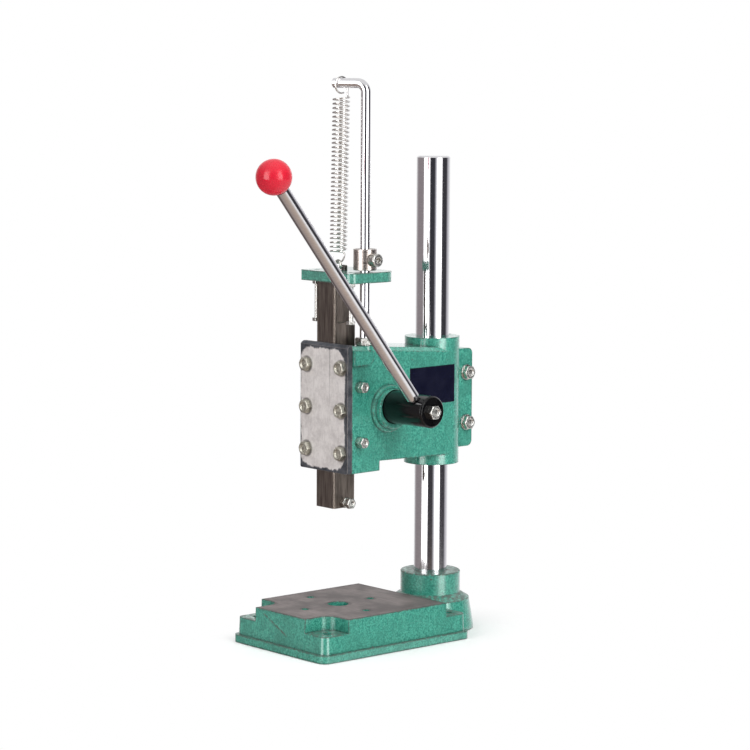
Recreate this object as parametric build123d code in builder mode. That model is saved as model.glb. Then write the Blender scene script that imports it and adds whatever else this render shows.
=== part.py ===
from build123d import *
import os
from math import acos, atan2, cos, dist, hypot, pi, radians, sin, sqrt, tan

os.makedirs("parts", exist_ok=True)

# ---------------------------------------------------------------------------
# Driving dimensions in millimetres. The origin is on the bench, on the axis of
# the middle hole of the work table; -Y is the operator's side, +X the lever side.
# ---------------------------------------------------------------------------

# Fits
running_play = 0.05        # radial play of a shaft, screw or column in its hole
slide_play = 0.05          # play on each flat of the slideway
rest_gap = 0.3             # between bodies that only come to rest on each other
tooth_play = 0.15          # backlash between the rack and the pinion

# Metric fasteners: thread radius, width across flats, head height, nut height
m5_radius = 2.5
m5_flats = 8.0
m5_head = 3.5
m5_nut = 4.0
m5_cap_radius = 4.25      # of a cylinder head
m5_cap_height = 5.0
m6_radius = 3.0
m6_flats = 10.0
m6_head = 4.0
m6_nut = 5.0
m8_radius = 4.0
m8_flats = 13.0
m8_head = 5.3
m8_nut = 6.5
m8_washer_radius = 8.0
m8_washer_thick = 1.6
m10_flats = 17.0
m10_nut = 8.0
socket_flats_share = 0.75  # socket width of a cylinder-head screw, as a share of its thread diameter
small_socket_share = 0.6   # the same for flat-head and set screws
corner_break = 0.8         # bevel on heads, nuts and turned ends

# Base casting
lip_width = 147.0
lip_length = 200.0
lip_front_y = -81.0
lip_height = 8.0
lip_corner = 9.0
wall_inset = 3.0           # foot of the side walls, in from the edge of the lip
wall_corner = 8.0
wall_draft = 2.5           # degrees
table_height = 40.0
table_thick = 12.0
skirt_wall = 9.0
notch_width = 31.0
notch_length = 33.0
notch_floor = 26.0
notch_corner = 12.0
table_rear_y = 87.5        # where the table drops to the rear ledge, level with the notches
rear_lug_hole_y = 103.0
lug_hole_radius = 4.5
table_bore_radius = 11.0
die_hole_radius = 4.0
die_hole_circle = 44.0     # radius on which the four small holes stand

# Column and its boss on the base
column_radius = 17.5
column_y = 128.0
column_foot = 8.0
column_top = 496.8
column_bevel = 1.5
boss_radius = 31.5
boss_top = 60.5
flare_foot_radius = 46.0
flare_foot_height = 4.0
flare_top_radius = 41.0
flare_top = 32.0
flare_shoulder = 38.0
set_screw_z = 20.0
set_screw_length = 22.0

# Ram, rack and slideway
ram_side = 28.0
ram_foot = 141.0
ram_top = 372.5
gib_space = 10.0
tooth_module = 2.5
pinion_teeth = 20
pressure_angle = 20.0
pinion_width = 22.0
pinion_z = 245.5
rack_spaces_below = 2
rack_spaces_above = 6
ram_stroke = 21.0
relief_foot = 331.0
relief_depth = 3.5
relief_front_margin = 4.0
die_bore_radius = 6.0
die_bore_depth = 30.0
die_screw_height = 5.5     # above the end of the ram
die_screw_reach = 8.0      # of shank that shows between the ram and the head

# Head casting
head_half_width = 37.0
head_top_front = 309.5
head_top_rear = 298.5
head_top_bevel = 4.0
head_bottom = 180.0
head_step_y = 25.0
head_step_z = 190.0
head_step_rear_z = 187.0
clamp_radius = 28.8
clamp_bottom = 176.0
clamp_top = 309.0
ear_half_width = 16.0
ear_rear_y = 171.0
ear_bottom = 191.0
ear_top = 295.0
ear_corner = 6.0
clamp_slit = 3.0
clamp_bolt_pitch = 53.0
clamp_bolt_y = 162.5
ring_radius = 24.0
ring_drop = 2.5            # the cast ring sits this far below the pinion's axis
ring_proud = 4.5
ring_lip_radius = 20.4
ring_lip_proud = 11.0
ring_recess_radius = 17.4
ring_recess_depth = 7.0
chamber_play = 1.5         # round the pinion
pad_length = 26.0
pad_height = 16.0
pad_proud = 3.5

# Front plate
plate_thick = 6.0
plate_top = 310.5
plate_bevel = 3.0          # along its upper edge
plate_corner = 2.0
plate_bolt_x = 27.0
plate_bolt_pitch = 43.3
plate_bolt_length = 22.0

# Gib screws
gib_screw_y = -4.0
gib_screw_pitch = 56.0
gib_screw_z = 239.8
gib_end_play = 1.0

# Pinion shaft, bushes, hub and lever
shaft_radius = 10.0
shaft_nose_radius = 8.0
bush_radius = 14.0
hub_foot_radius = 17.0
hub_end_radius = 16.2
hub_end_x = 101.3
hub_bevel = 1.5
key_side = 5.0
hub_bolt_grip = 12.0       # of thread in the shaft's nose
bolt_past_nut = 1.5
nose_wall = 2.5            # between the shaft's nose and the lever's neck
lever_x = 83.7
lever_lean = 38.65         # degrees forward of upright
lever_radius = 7.0
lever_neck_radius = 5.0
lever_shoulder = 18.5      # from the axis of the hub, where the threaded neck begins
lever_foot = 5.5           # of the neck, from the axis of the hub
ball_radius = 17.5
ball_reach = 305.0         # centre of the ball from the axis of the hub
ball_flat_reach = 16.2     # from the ball's centre to the flat that the rod's shoulder meets
ball_socket_depth = 20.0
end_washer_radius = 15.0
end_washer_thick = 2.5
end_spot_radius = 15.6     # of the flat cut into the head's side for that washer
end_bolt_length = 16.0

# Top plate and what it carries
top_plate_left_x = -37.0
top_plate_right_x = 42.0
top_plate_front_y = -21.0
top_plate_rear_y = 43.0
top_plate_thick = 10.5
front_left_corner = 3.0
front_right_corner = 8.0
rear_left_corner = 6.0
rear_right_corner = 18.0
top_screw_y = 9.3
top_screw_length = 22.0
stop_bolt_x = 26.5
stop_bolt_y = -7.5
stop_bolt_past_plate = 1.0 # of thread left below the plate's upper face

# Spring hanger, stop collar, spring eye
hanger_x = 25.5
hanger_y = 12.0
hanger_radius = 5.0
hanger_sink = 16.0
hanger_arm_z = 572.0
hanger_bend = 9.0
hanger_past_spring = 9.0
hanger_seat_radius = 10.3
hanger_hole_radius = 5.6
collar_radius = 11.8
collar_height = 21.5
collar_lift = 1.5          # of the collar above the top plate, where it is set
collar_screw_shows = 0.5   # of thread between the collar and the head of its screw
collar_head_radius = 6.7
collar_head_height = 8.0
eye_ring_radius = 4.0
eye_wire_radius = 1.3
eye_base_radius = 3.6
eye_base_height = 1.5
eye_shank_length = 12.0

# Return spring
wire_radius = 0.9
coil_radius = 8.2
coil_turns = 36
spring_foot_x = -2.0
spring_head_x = 2.0
top_leg = 9.5              # of straight wire between the coil and its upper loop
hook_bend = 2.5            # radius of the wire where it turns from the coil to an end loop
top_hook_sweep = 290.0     # degrees
sample_step = 24           # points measured along each arc of the wire, for its gap to itself

# Name plate, left bare
name_front_y = 68.0
name_wrap = 4.0            # round the clamp barrel
name_bottom = 242.0
name_top = 281.0
name_thick = 0.6

# ---------------------------------------------------------------------------
# Places that follow from the dimensions above
# ---------------------------------------------------------------------------

ram_half = ram_side / 2
ram_x = -gib_space / 2
slideway_half = (ram_side + gib_space) / 2 + slide_play
slideway_back_y = ram_half + slide_play
head_front_y = -ram_half - slide_play
pitch_radius = tooth_module * pinion_teeth / 2
pinion_y = ram_half - tooth_module + pitch_radius + tooth_play
rack_pitch = pi * tooth_module
tip_radius = pitch_radius + tooth_module
chamber_half = pinion_width / 2 + chamber_play / 2
m6_corner = m6_flats / 2 / cos(pi / 6)
top_plate_top = ram_top + top_plate_thick
lip_middle_y = lip_front_y + lip_length / 2
plate_bolt_z = (head_bottom + plate_top - plate_bevel) / 2
clamp_bolt_z = (ear_bottom + ear_top) / 2

# The head's flat sides run from the front corners to the clamp barrel, which
# they touch as tangents.
corner_from_column = (head_half_width, head_front_y - column_y)
corner_distance = hypot(*corner_from_column)
tangent_turn = atan2(corner_from_column[1], corner_from_column[0]) + acos(clamp_radius / corner_distance)
tangent_x = clamp_radius * cos(tangent_turn)
tangent_y = column_y + clamp_radius * sin(tangent_turn)
side_slope = (head_half_width - tangent_x) / (tangent_y - head_front_y)


def side_x(y):
    """Half the head's width at y."""
    return head_half_width - side_slope * (y - head_front_y)


def head_top_at(y):
    """Height of the head's sloping upper face at y."""
    share = (y - head_front_y) / (column_y - head_front_y)
    return head_top_front + (head_top_rear - head_top_front) * share


def save(piece, name):
    """Label a finished piece and write it out."""
    piece.part.label = name
    export_step(piece.part, f"parts/{name}.step")


# ---------------------------------------------------------------------------
# Fasteners: each is modelled with its seat on XY, its head up and its shank down
# ---------------------------------------------------------------------------

def hex_bolt(flats, head_height, radius, length):
    """A hexagon bolt with a bevelled head."""
    with BuildPart() as bolt:
        with BuildSketch(Plane.XY):
            RegularPolygon(flats / 2, 6, major_radius=False)
        extrude(amount=head_height)
        chamfer(bolt.edges().group_by(Axis.Z)[-1], length=corner_break)
        with BuildSketch(Plane.XY):
            Circle(radius)
        extrude(amount=-length)
    return bolt.part


def hex_nut(flats, height, hole_radius):
    """A hexagon nut with bevelled corners on its free face."""
    with BuildPart() as nut:
        with BuildSketch(Plane.XY):
            RegularPolygon(flats / 2, 6, major_radius=False)
            Circle(hole_radius, mode=Mode.SUBTRACT)
        extrude(amount=height)
        rim = nut.edges().group_by(Axis.Z)[-1].filter_by(GeomType.LINE)
        chamfer(rim, length=corner_break)
    return nut.part


def socket_screw(head_radius, head_height, radius, length):
    """A cylinder-head screw with a hexagon socket."""
    with BuildPart() as screw:
        with BuildSketch(Plane.XY):
            Circle(head_radius)
        extrude(amount=head_height)
        chamfer(screw.edges().group_by(Axis.Z)[-1], length=corner_break)
        with BuildSketch(Plane.XY):
            Circle(radius)
        extrude(amount=-length)
        with BuildSketch(Plane.XY.offset(head_height)):
            RegularPolygon(radius * socket_flats_share, 6, major_radius=False)
        extrude(amount=-head_height / 2, mode=Mode.SUBTRACT)
    return screw.part


# ---------------------------------------------------------------------------
# Base casting
# ---------------------------------------------------------------------------

wall_foot_width = lip_width - 2 * wall_inset
wall_foot_length = lip_length - 2 * wall_inset
notch_reach = wall_inset + notch_width

with BuildPart() as base:
    with BuildSketch(Plane.XY):
        with Locations((0, lip_middle_y)):
            RectangleRounded(lip_width, lip_length, lip_corner)
    extrude(amount=lip_height)
    with BuildSketch(Plane.XY.offset(lip_height)):
        with Locations((0, lip_middle_y)):
            RectangleRounded(wall_foot_width, wall_foot_length, wall_corner)
    extrude(amount=table_height - lip_height, taper=wall_draft)

    # Front corner notches, whose floors are lugs for the bench bolts, and the rear ledge
    notch_rear_y = lip_front_y + wall_inset + notch_length
    for side in (-1, 1):
        inner_x = side * (lip_width / 2 - notch_reach)
        with BuildSketch(Plane.XY.offset(notch_floor)) as notch:
            with BuildLine():
                Polyline(
                    (inner_x, notch_rear_y),
                    (side * lip_width, notch_rear_y),
                    (side * lip_width, lip_front_y - notch_length),
                    (inner_x, lip_front_y - notch_length),
                    close=True,
                )
            make_face()
            inner = notch.vertices().sort_by_distance((inner_x, notch_rear_y, notch_floor))[0]
            fillet(inner, notch_corner)
        extrude(amount=table_height, mode=Mode.SUBTRACT)
    with BuildSketch(Plane.XY.offset(notch_floor)):
        with Locations((0, table_rear_y)):
            Rectangle(lip_width, lip_length, align=(Align.CENTER, Align.MIN))
    extrude(amount=table_height, mode=Mode.SUBTRACT)

    # Flared foot and barrel that hold the column
    with BuildSketch(Plane.XZ.offset(-column_y)):
        with BuildLine():
            Polyline(
                (0, 0),
                (flare_foot_radius, 0),
                (flare_foot_radius, flare_foot_height),
                (flare_top_radius, flare_top),
                (boss_radius, flare_shoulder),
                (boss_radius, boss_top),
                (0, boss_top),
                close=True,
            )
        make_face()
    revolve(axis=Axis((0, column_y, 0), (0, 0, 1)))
    chamfer(base.edges().group_by(Axis.Z)[-1], length=corner_break)

    # Hollow under the table, round solid front lugs
    hollow_rear_y = table_rear_y - skirt_wall
    lug_x = lip_width / 2 - notch_reach - skirt_wall
    with BuildSketch(Plane.XY):
        with Locations((0, hollow_rear_y)):
            rear_half = (Align.CENTER, Align.MAX)
            Rectangle(lip_width - 2 * skirt_wall, hollow_rear_y - notch_rear_y - skirt_wall, align=rear_half)
            Rectangle(2 * lug_x, hollow_rear_y - lip_front_y - skirt_wall, align=rear_half)
    extrude(amount=table_height - table_thick, mode=Mode.SUBTRACT)

    # Holes of the table, of the lugs and of the column
    with Locations((0, 0, table_height)):
        Hole(table_bore_radius, depth=table_height)
    with Locations(Plane.XY.offset(table_height)):
        with PolarLocations(die_hole_circle, 4):
            Hole(die_hole_radius, depth=table_height)
    lug_hole_x = lip_width / 2 - wall_inset - notch_width / 2
    front_lug_hole_y = lip_front_y + wall_inset + notch_length / 2
    for x in (-lug_hole_x, lug_hole_x):
        for y in (front_lug_hole_y, rear_lug_hole_y):
            with Locations((x, y, notch_floor)):
                Hole(lug_hole_radius, depth=notch_floor)
    with Locations((0, column_y, boss_top)):
        Hole(column_radius + running_play, depth=boss_top - column_foot)
    with BuildSketch(Plane.XZ.offset(-column_y)):
        with Locations((0, set_screw_z)):
            Circle(m8_radius + running_play)
    extrude(amount=-flare_foot_radius, mode=Mode.SUBTRACT)

with BuildPart() as column:
    with BuildSketch(Plane((0, column_y, column_foot))):
        Circle(column_radius)
    extrude(amount=column_top - column_foot)
    chamfer(column.edges().group_by(Axis.Z)[0], length=column_bevel)
    chamfer(column.edges().group_by(Axis.Z)[-1], length=column_bevel)

set_screw_tip_y = column_y + column_radius + rest_gap
with BuildPart() as column_set_screw:
    with BuildSketch(Plane.XZ.offset(-set_screw_tip_y)):
        with Locations((0, set_screw_z)):
            Circle(m8_radius)
    extrude(amount=-set_screw_length)
    with BuildSketch(Plane.XZ.offset(-set_screw_tip_y - set_screw_length)):
        with Locations((0, set_screw_z)):
            RegularPolygon(m8_radius * small_socket_share, 6, major_radius=False)
    extrude(amount=m8_radius, mode=Mode.SUBTRACT)

save(base, "base")
save(column, "column")
save(column_set_screw, "column_set_screw")

# ---------------------------------------------------------------------------
# Head casting
# ---------------------------------------------------------------------------

ring_z = pinion_z - ring_drop
hanger_seat_z = head_top_at(hanger_y - hanger_seat_radius)
ring_face_x = side_x(pinion_y) + ring_proud
ring_lip_x = side_x(pinion_y) + ring_lip_proud
pad_top = head_top_front - head_top_bevel
end_spot_x = -side_x(pinion_y + end_spot_radius)
clamp_bolt_heights = (clamp_bolt_z - clamp_bolt_pitch / 2, clamp_bolt_z + clamp_bolt_pitch / 2)
gib_screw_heights = (gib_screw_z - gib_screw_pitch / 2, gib_screw_z + gib_screw_pitch / 2)
plate_bolt_places = [
    (x, plate_bolt_z + row * plate_bolt_pitch) for x in (-plate_bolt_x, plate_bolt_x) for row in (-1, 0, 1)
]

with BuildPart() as head:
    # Side outline, cut to the tapering plan
    with BuildSketch(Plane.YZ):
        with BuildLine():
            Polyline(
                (head_front_y, head_bottom),
                (head_step_y, head_bottom),
                (head_step_y, head_step_z),
                (column_y, head_step_rear_z),
                (column_y, head_top_rear),
                (head_front_y, head_top_front),
                close=True,
            )
        make_face()
    extrude(amount=head_half_width, both=True)
    with BuildSketch(Plane.XY.offset(head_bottom)):
        with BuildLine():
            Polyline(
                (-head_half_width, head_front_y),
                (head_half_width, head_front_y),
                (tangent_x, tangent_y),
                (-tangent_x, tangent_y),
                close=True,
            )
        make_face()
    extrude(amount=clamp_top + head_top_bevel - head_bottom, mode=Mode.INTERSECT)
    top_edges = head.faces().sort_by(Axis.Z)[-1].edges().sort_by(Axis.X)
    chamfer([top_edges[0], top_edges[-1]], length=head_top_bevel)

    # Clamp barrel and its two ears
    with BuildSketch(Plane((0, column_y, clamp_bottom))):
        Circle(clamp_radius)
    extrude(amount=clamp_top - clamp_bottom)
    with BuildSketch(Plane.YZ):
        with Locations(((column_y + ear_rear_y) / 2, (ear_bottom + ear_top) / 2)):
            RectangleRounded(ear_rear_y - column_y, ear_top - ear_bottom, ear_corner)
    extrude(amount=ear_half_width, both=True)

    # Stepped ring round the shaft, pad at the top front corner and seat of the spring hanger
    with BuildSketch(Plane.YZ):
        with Locations((pinion_y, ring_z)):
            Circle(ring_radius)
    extrude(amount=ring_face_x)
    chamfer(head.faces().sort_by(Axis.X)[-1].edges(), length=corner_break)
    with BuildSketch(Plane.YZ.offset(ring_face_x)):
        with Locations((pinion_y, ring_z)):
            Circle(ring_lip_radius)
    extrude(amount=ring_lip_x - ring_face_x)
    chamfer(head.faces().sort_by(Axis.X)[-1].edges(), length=corner_break)
    pad_rear_y = head_front_y + pad_length
    with BuildSketch(Plane.YZ) as pad:
        with BuildLine():
            Polyline(
                (head_front_y, pad_top - pad_height),
                (pad_rear_y, pad_top - pad_height),
                (pad_rear_y, head_top_at(pad_rear_y) - head_top_bevel),
                (head_front_y, pad_top),
                close=True,
            )
        make_face()
        lower_rear = pad.vertices().sort_by_distance((0, pad_rear_y, pad_top - pad_height))[0]
        fillet(lower_rear, pad_height / 2)
    extrude(amount=head_half_width + pad_proud)
    with BuildSketch(Plane((hanger_x, hanger_y, hanger_seat_z))):
        Circle(hanger_seat_radius)
    extrude(amount=-hanger_sink)

    # Slideway, gear chamber, column bore and clamp slit
    with BuildSketch(Plane.XY.offset(head_bottom)):
        with Locations((0, (head_front_y + slideway_back_y) / 2)):
            Rectangle(2 * slideway_half, slideway_back_y - head_front_y)
    extrude(amount=head_top_front - head_bottom, mode=Mode.SUBTRACT)
    with BuildSketch(Plane.YZ.offset(ram_x)):
        with Locations((pinion_y, pinion_z)):
            Circle(tip_radius + chamber_play)
        with Locations((pinion_y / 2, pinion_z)):
            Rectangle(pinion_y, 2 * (tip_radius + chamber_play))
    extrude(amount=chamber_half, both=True, mode=Mode.SUBTRACT)
    with BuildSketch(Plane((0, column_y, clamp_bottom))):
        Circle(column_radius + running_play)
    extrude(amount=clamp_top - clamp_bottom, mode=Mode.SUBTRACT)
    with BuildSketch(Plane.XY.offset(clamp_bottom)):
        with Locations((0, (column_y + ear_rear_y) / 2)):
            Rectangle(clamp_slit, ear_rear_y - column_y)
    extrude(amount=clamp_top - clamp_bottom, mode=Mode.SUBTRACT)

    # Shaft bore for the bushes, the flat at its left end and the recess that the hub turns in
    with BuildSketch(Plane.YZ.offset(-head_half_width)):
        with Locations((pinion_y, pinion_z)):
            Circle(bush_radius)
    extrude(amount=2 * head_half_width + ring_lip_proud, mode=Mode.SUBTRACT)
    with BuildSketch(Plane.YZ.offset(end_spot_x)):
        with Locations((pinion_y, pinion_z)):
            Circle(end_spot_radius)
    extrude(amount=-head_half_width, mode=Mode.SUBTRACT)
    with BuildSketch(Plane.YZ.offset(ring_lip_x)):
        with Locations((pinion_y, pinion_z)):
            Circle(ring_recess_radius)
    extrude(amount=ring_face_x - ring_lip_x - ring_recess_depth, mode=Mode.SUBTRACT)

    # Screw holes
    with BuildSketch(Plane.XZ.offset(-head_front_y)):
        with Locations(*plate_bolt_places):
            Circle(m8_radius + running_play)
    extrude(amount=-plate_bolt_length, mode=Mode.SUBTRACT)
    with BuildSketch(Plane.YZ):
        with Locations(*[(gib_screw_y, z) for z in gib_screw_heights]):
            Circle(m6_radius + running_play)
    extrude(amount=head_half_width, mode=Mode.SUBTRACT)
    with BuildSketch(Plane.YZ):
        with Locations(*[(clamp_bolt_y, z) for z in clamp_bolt_heights]):
            Circle(m8_radius + running_play)
    extrude(amount=ear_half_width, both=True, mode=Mode.SUBTRACT)
    with BuildSketch(Plane((hanger_x, hanger_y, hanger_seat_z))):
        Circle(hanger_radius + running_play)
    extrude(amount=-hanger_sink, mode=Mode.SUBTRACT)

save(head, "head")

# ---------------------------------------------------------------------------
# Front plate, gib, clamp bolts, name plate
# ---------------------------------------------------------------------------

plate_face_y = head_front_y - plate_thick
with BuildPart() as front_plate:
    with BuildSketch(Plane.XZ.offset(-head_front_y)) as plate_outline:
        with Locations((0, (head_bottom + plate_top) / 2)):
            RectangleRounded(2 * head_half_width, plate_top - head_bottom, plate_corner)
        with Locations(*plate_bolt_places):
            Circle(m8_radius + running_play, mode=Mode.SUBTRACT)
    extrude(amount=plate_thick)
    with BuildSketch(Plane.YZ):
        with BuildLine():
            Polyline(
                (plate_face_y, plate_top - plate_bevel),
                (plate_face_y, plate_top),
                (plate_face_y + plate_bevel, plate_top),
                close=True,
            )
        make_face()
    extrude(amount=head_half_width, both=True, mode=Mode.SUBTRACT)

plate_bolt = hex_bolt(m8_flats, m8_head, m8_radius, plate_bolt_length)
with BuildPart() as front_plate_bolts:
    for turn, (x, z) in enumerate(plate_bolt_places):
        with Locations(Plane((x, plate_face_y, z), x_dir=(cos(turn), 0, sin(turn)), z_dir=(0, -1, 0))):
            add(plate_bolt)

gib_left_x = ram_x + ram_half + slide_play
gib_right_x = slideway_half - slide_play
with BuildPart() as gib:
    with BuildSketch(Plane.XY.offset(head_bottom + gib_end_play)):
        with Locations(((gib_left_x + gib_right_x) / 2, 0)):
            Rectangle(gib_right_x - gib_left_x, ram_side)
    extrude(amount=head_top_at(ram_half) - head_bottom - 2 * gib_end_play)

gib_nut_x = side_x(gib_screw_y - m6_corner)
gib_head_x = gib_nut_x + m6_nut + slide_play
gib_bolt = hex_bolt(m6_flats, m6_head, m6_radius, gib_head_x - gib_right_x - slide_play)
gib_nut = hex_nut(m6_flats, m6_nut, m6_radius + running_play)
with BuildPart() as gib_bolts:
    for turn, z in enumerate(gib_screw_heights):
        place = (gib_head_x, gib_screw_y, z)
        with Locations(Plane(place, x_dir=(0, cos(turn), sin(turn)), z_dir=(1, 0, 0))):
            add(gib_bolt)
with BuildPart() as gib_locknuts:
    for z in gib_screw_heights:
        with Locations(Plane((gib_nut_x, gib_screw_y, z), x_dir=(0, 1, 0), z_dir=(1, 0, 0))):
            add(gib_nut)

clamp_bolt = hex_bolt(
    m8_flats, m8_head, m8_radius, 2 * (ear_half_width + m8_washer_thick) + m8_nut + bolt_past_nut
)
clamp_nut = hex_nut(m8_flats, m8_nut, m8_radius + running_play)
clamp_face_x = ear_half_width + m8_washer_thick
with BuildPart() as clamp_bolts:
    for turn, z in enumerate(clamp_bolt_heights):
        place = (clamp_face_x, clamp_bolt_y, z)
        with Locations(Plane(place, x_dir=(0, cos(turn), sin(turn)), z_dir=(1, 0, 0))):
            add(clamp_bolt)
with BuildPart() as clamp_washers:
    for side in (-1, 1):
        with BuildSketch(Plane.YZ.offset(side * ear_half_width)):
            with Locations(*[(clamp_bolt_y, z) for z in clamp_bolt_heights]):
                Circle(m8_washer_radius)
                Circle(m8_radius + running_play, mode=Mode.SUBTRACT)
        extrude(amount=side * m8_washer_thick)
with BuildPart() as clamp_nuts:
    for z in clamp_bolt_heights:
        with Locations(Plane((-clamp_face_x, clamp_bolt_y, z), x_dir=(0, 1, 0), z_dir=(-1, 0, 0))):
            add(clamp_nut)


def barrel_point(turn, radius):
    """A point on or round the clamp barrel, in plan."""
    return (radius * cos(turn), column_y + radius * sin(turn))


outward = (name_thick * cos(tangent_turn), name_thick * sin(tangent_turn))
name_front = (side_x(name_front_y), name_front_y)
with BuildPart() as name_plate:
    with BuildSketch(Plane.XY.offset(name_bottom)):
        with BuildLine():
            Line(name_front, (tangent_x, tangent_y))
            wrap_turns = [tangent_turn + share * name_wrap / clamp_radius for share in (0, 0.5, 1)]
            inner_arc = [barrel_point(turn, clamp_radius) for turn in wrap_turns]
            outer_arc = [barrel_point(turn, clamp_radius + name_thick) for turn in reversed(wrap_turns)]
            ThreePointArc(*inner_arc)
            Line(inner_arc[-1], outer_arc[0])
            ThreePointArc(*outer_arc)
            Line(outer_arc[-1], (name_front[0] + outward[0], name_front[1] + outward[1]))
            Line((name_front[0] + outward[0], name_front[1] + outward[1]), name_front)
        make_face()
    extrude(amount=name_top - name_bottom)

save(front_plate, "front_plate")
save(front_plate_bolts, "front_plate_bolts")
save(gib, "gib")
save(gib_bolts, "gib_bolts")
save(gib_locknuts, "gib_locknuts")
save(clamp_bolts, "clamp_bolts")
save(clamp_washers, "clamp_washers")
save(clamp_nuts, "clamp_nuts")
save(name_plate, "name_plate")

# ---------------------------------------------------------------------------
# Ram with its rack, and the die screw at its foot
# ---------------------------------------------------------------------------

flank = tan(radians(pressure_angle))
space_mouth = rack_pitch / 4 + tooth_module * flank
space_root_depth = 2.25 * tooth_module
space_root = rack_pitch / 4 - (space_root_depth - tooth_module) * flank
die_screw_z = ram_foot + die_screw_height
ram_side_x = ram_x + ram_half

with BuildPart() as ram:
    with BuildSketch(Plane.XY.offset(ram_foot)):
        with Locations((ram_x, 0)):
            Rectangle(ram_side, ram_side)
    extrude(amount=ram_top - ram_foot)
    chamfer(ram.edges().filter_by(Axis.Z), length=corner_break)

    # Rack spaces on the back
    for space in range(-rack_spaces_below, rack_spaces_above + 1):
        space_z = pinion_z + space * rack_pitch
        with BuildSketch(Plane.YZ.offset(ram_x - ram_half)):
            with BuildLine():
                Polyline(
                    (ram_half, space_z - space_mouth),
                    (ram_half - space_root_depth, space_z - space_root),
                    (ram_half - space_root_depth, space_z + space_root),
                    (ram_half, space_z + space_mouth),
                    close=True,
                )
            make_face()
        extrude(amount=ram_side, mode=Mode.SUBTRACT)

    # Relief on the lever side of the upper end
    with BuildSketch(Plane.XY.offset(relief_foot)):
        with Locations((ram_side_x, relief_front_margin)):
            Rectangle(2 * relief_depth, ram_side)
    extrude(amount=ram_top - relief_foot, mode=Mode.SUBTRACT)

    # Die bore and its screw, holes for the top plate's screws and the spring eye
    with BuildSketch(Plane((ram_x, 0, ram_foot))):
        Circle(die_bore_radius)
    extrude(amount=die_bore_depth, mode=Mode.SUBTRACT)
    with BuildSketch(Plane.YZ.offset(ram_x)):
        with Locations((0, die_screw_z)):
            Circle(m6_radius + running_play)
    extrude(amount=ram_half, mode=Mode.SUBTRACT)
    with BuildSketch(Plane((ram_x, 0, ram_top))):
        with Locations((0, -top_screw_y), (0, top_screw_y)):
            Circle(m5_radius + running_play)
    extrude(amount=-top_screw_length, mode=Mode.SUBTRACT)
    with BuildSketch(Plane((spring_foot_x, 0, ram_top))):
        Circle(m5_radius + running_play)
    extrude(amount=-eye_shank_length, mode=Mode.SUBTRACT)

die_head_x = ram_side_x + die_screw_reach
die_screw_tip_x = ram_x + die_bore_radius + rest_gap
die_bolt = hex_bolt(m6_flats, m6_head, m6_radius, die_head_x - die_screw_tip_x)
with BuildPart() as die_screw:
    with Locations(Plane((die_head_x, 0, die_screw_z), x_dir=(0, 1, 0), z_dir=(1, 0, 0))):
        add(die_bolt)
with BuildPart() as die_screw_locknut:
    with Locations(Plane((ram_side_x, 0, die_screw_z), x_dir=(0, 1, 0), z_dir=(1, 0, 0))):
        add(gib_nut)

save(ram, "ram")
save(die_screw, "die_screw")
save(die_screw_locknut, "die_screw_locknut")

# ---------------------------------------------------------------------------
# Pinion with its shaft, keys, bushes and end fastening
# ---------------------------------------------------------------------------

base_radius = pitch_radius * cos(radians(pressure_angle))
root_radius = pitch_radius - 1.25 * tooth_module
involute_at_pitch = flank - radians(pressure_angle)
half_tooth = (pi * tooth_module / 2 - tooth_play) / 2 / pitch_radius
flank_radii = (base_radius, pitch_radius, tip_radius)


def flank_point(radius, side, tooth_angle):
    """A point of a tooth's involute flank, in the pinion's plane (Y, Z)."""
    roll = sqrt(max((radius / base_radius) ** 2 - 1, 0))
    involute = roll - atan2(roll, 1)
    angle = tooth_angle + side * (half_tooth + involute_at_pitch - involute)
    return (pinion_y + radius * cos(angle), pinion_z + radius * sin(angle))


def root_point(side, tooth_angle):
    """Foot of a tooth on the root circle."""
    angle = tooth_angle + side * (half_tooth + involute_at_pitch)
    return (pinion_y + root_radius * cos(angle), pinion_z + root_radius * sin(angle))


with BuildPart() as pinion:
    with BuildSketch(Plane.YZ.offset(ram_x)):
        with BuildLine():
            for tooth in range(pinion_teeth):
                # One tooth points straight at the rack
                tooth_angle = pi + tooth * 2 * pi / pinion_teeth
                next_angle = tooth_angle + 2 * pi / pinion_teeth
                Line(root_point(-1, tooth_angle), flank_point(base_radius, -1, tooth_angle))
                ThreePointArc(*[flank_point(radius, -1, tooth_angle) for radius in flank_radii])
                Line(flank_point(tip_radius, -1, tooth_angle), flank_point(tip_radius, 1, tooth_angle))
                ThreePointArc(*[flank_point(radius, 1, tooth_angle) for radius in reversed(flank_radii)])
                Line(flank_point(base_radius, 1, tooth_angle), root_point(1, tooth_angle))
                Line(root_point(1, tooth_angle), root_point(-1, next_angle))
        make_face()
        with Locations((pinion_y, pinion_z)):
            Circle(shaft_radius + running_play, mode=Mode.SUBTRACT)
        with Locations((pinion_y, pinion_z + shaft_radius)):
            Rectangle(key_side + 2 * running_play, key_side + 2 * running_play, mode=Mode.SUBTRACT)
    extrude(amount=pinion_width / 2, both=True)

chamber_left_x = ram_x - chamber_half
chamber_right_x = ram_x + chamber_half
recess_floor_x = ring_face_x - ring_recess_depth
hub_inner_x = recess_floor_x + rest_gap
shaft_left_x = end_spot_x - rest_gap
nose_end_x = lever_x - lever_neck_radius - nose_wall

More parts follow.
